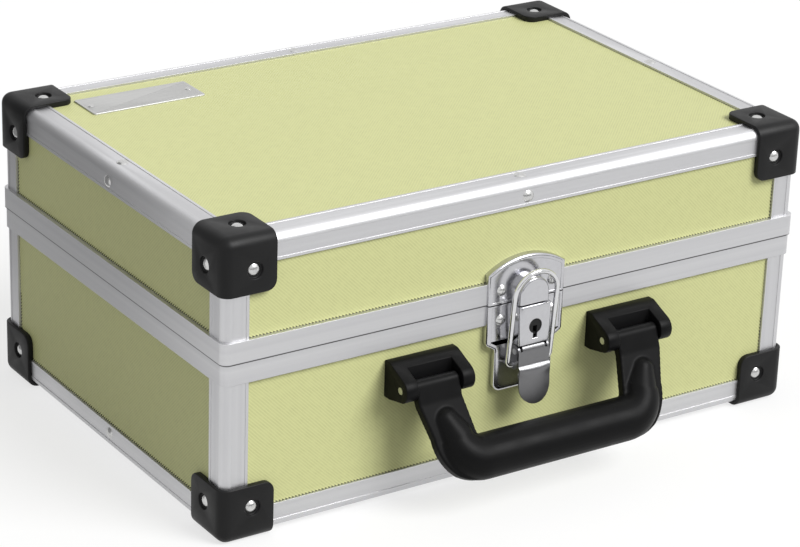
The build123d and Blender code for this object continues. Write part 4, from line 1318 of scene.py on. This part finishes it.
# Nameplate: a small bare plate of satin metal with a raised rim, held by two rivets on the
# top panel. It carries no lettering.
name_corner = 1.2
name_edge = 0.3
name_border = 0.7
name_slope = 0.25
name_sink = 0.12
name_metal, name_tree, name_shader = new_material("name_metal")
name_brushed = add_node(
    name_tree, "Mapping", {"Vector": object_place(name_tree), "Scale": (60.0, 2600.0, 2600.0)}
)
name_lines = noise(name_tree, name_brushed.outputs[0], 1.0, 4.0)
name_dark = (0.46, 0.46, 0.455, 1)
name_light = (0.62, 0.62, 0.61, 1)
set_inputs(
    name_tree,
    name_shader,
    {
        "Base Color": mix_colours(name_tree, name_lines, name_dark, name_light),
        "Normal": bump(name_tree, name_lines, 0.3, 0.04),
        "Metallic": 0.85,
        "Roughness": 0.42,
    },
)
name_level = case_height - face_depth
name_shape = box_mesh(
    (name_across - name_width / 2, name_along - name_depth / 2, name_level),
    (name_across + name_width / 2, name_along + name_depth / 2, name_level + name_thickness),
)
name_corners = [
    edge for edge in name_shape.edges if abs(edge.verts[0].co.z - edge.verts[1].co.z) > 0.1
]
round_over(name_shape, name_corners, name_corner, 4)
name_shape.normal_update()
name_top = [face for face in name_shape.faces if face.normal.z > 0.9]
round_over(name_shape, [edge for face in name_top for edge in face.edges], name_edge, 3)
name_top = max(
    name_shape.faces, key=lambda face: face.calc_area() * max(0.0, face.normal.z)
)
inset(name_shape, name_top, name_border)
inset(name_shape, name_top, name_slope, name_sink)
seat(name_shape, "name_tag", "lid", name_metal, "nameplate")

# Foam: soft dark grey foam lines the case. A pad cut in egg-box waves fills the lid, and a
# tray with the same waves on its floor lines the base.
foam_dark = (0.030, 0.030, 0.032, 1)
foam_light = (0.062, 0.062, 0.065, 1)
wave_pitch = 26.0
wave_mesh = 2.6
pad_wave = 7.0
tray_wave = -3.5
floor_thick = 6.0
wall_thick = 2.0
foam_grey, foam_tree, foam_shader = new_material("foam_grey")
foam_cells = add_node(
    foam_tree, "TexVoronoi", {"Vector": object_place(foam_tree), "Scale": 1100.0}
).outputs["Distance"]
set_inputs(
    foam_tree,
    foam_shader,
    {
        "Base Color": mix_colours(foam_tree, foam_cells, foam_dark, foam_light),
        "Normal": bump(foam_tree, foam_cells, 0.6, 0.3),
        "Roughness": 0.95,
        "Specular IOR Level": 0.1,
    },
)


def egg_box(low, high, back, face, depth):
    """A slab from a flat back to a face that waves away from it in peaks and hollows."""
    shape = bmesh.new()
    columns, rows = (max(8, round((high[axis] - low[axis]) / wave_mesh)) for axis in (0, 1))
    bmesh.ops.create_grid(shape, x_segments=columns, y_segments=rows, size=0.5)
    for vert in shape.verts:
        x = low[0] + (vert.co.x + 0.5) * (high[0] - low[0])
        y = low[1] + (vert.co.y + 0.5) * (high[1] - low[1])
        wave = (2 + cos(2 * pi * x / wave_pitch) + cos(2 * pi * y / wave_pitch)) / 4
        vert.co = Vector((x, y, face + depth * wave))
    grown = bmesh.ops.extrude_face_region(shape, geom=shape.faces[:])["geom"]
    for vert in of_kind(grown, bmesh.types.BMVert):
        vert.co.z = back
    bmesh.ops.recalc_face_normals(shape, faces=shape.faces)
    return shape


pad_low, pad_high = [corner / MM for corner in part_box("lid_pad")]
pad_shape = egg_box(pad_low, pad_high, pad_high.z, pad_low.z, pad_wave)
lid_foam = seat(pad_shape, "lid_foam", "lid", foam_grey, "lid_pad", 60)

tray_low, tray_high = [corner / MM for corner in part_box("base_lining")]
wall_in = Vector((wall_thick, wall_thick, -1))
room_low = tray_low + wall_in
room_high = tray_high - wall_in
walls = loose_object(box_mesh(tray_low, tray_high), "walls")
carve(walls, [box_mesh(room_low, room_high)])
soft_edge(walls, 0.4, 2, 40)
bake_modifiers(walls)
floor_shape = egg_box(room_low, room_high, tray_low.z, tray_low.z + floor_thick, tray_wave)
tray_shape = gather(take_shape(walls), floor_shape)
base_foam = seat(tray_shape, "base_foam", "base", foam_grey, "base_lining", 60)
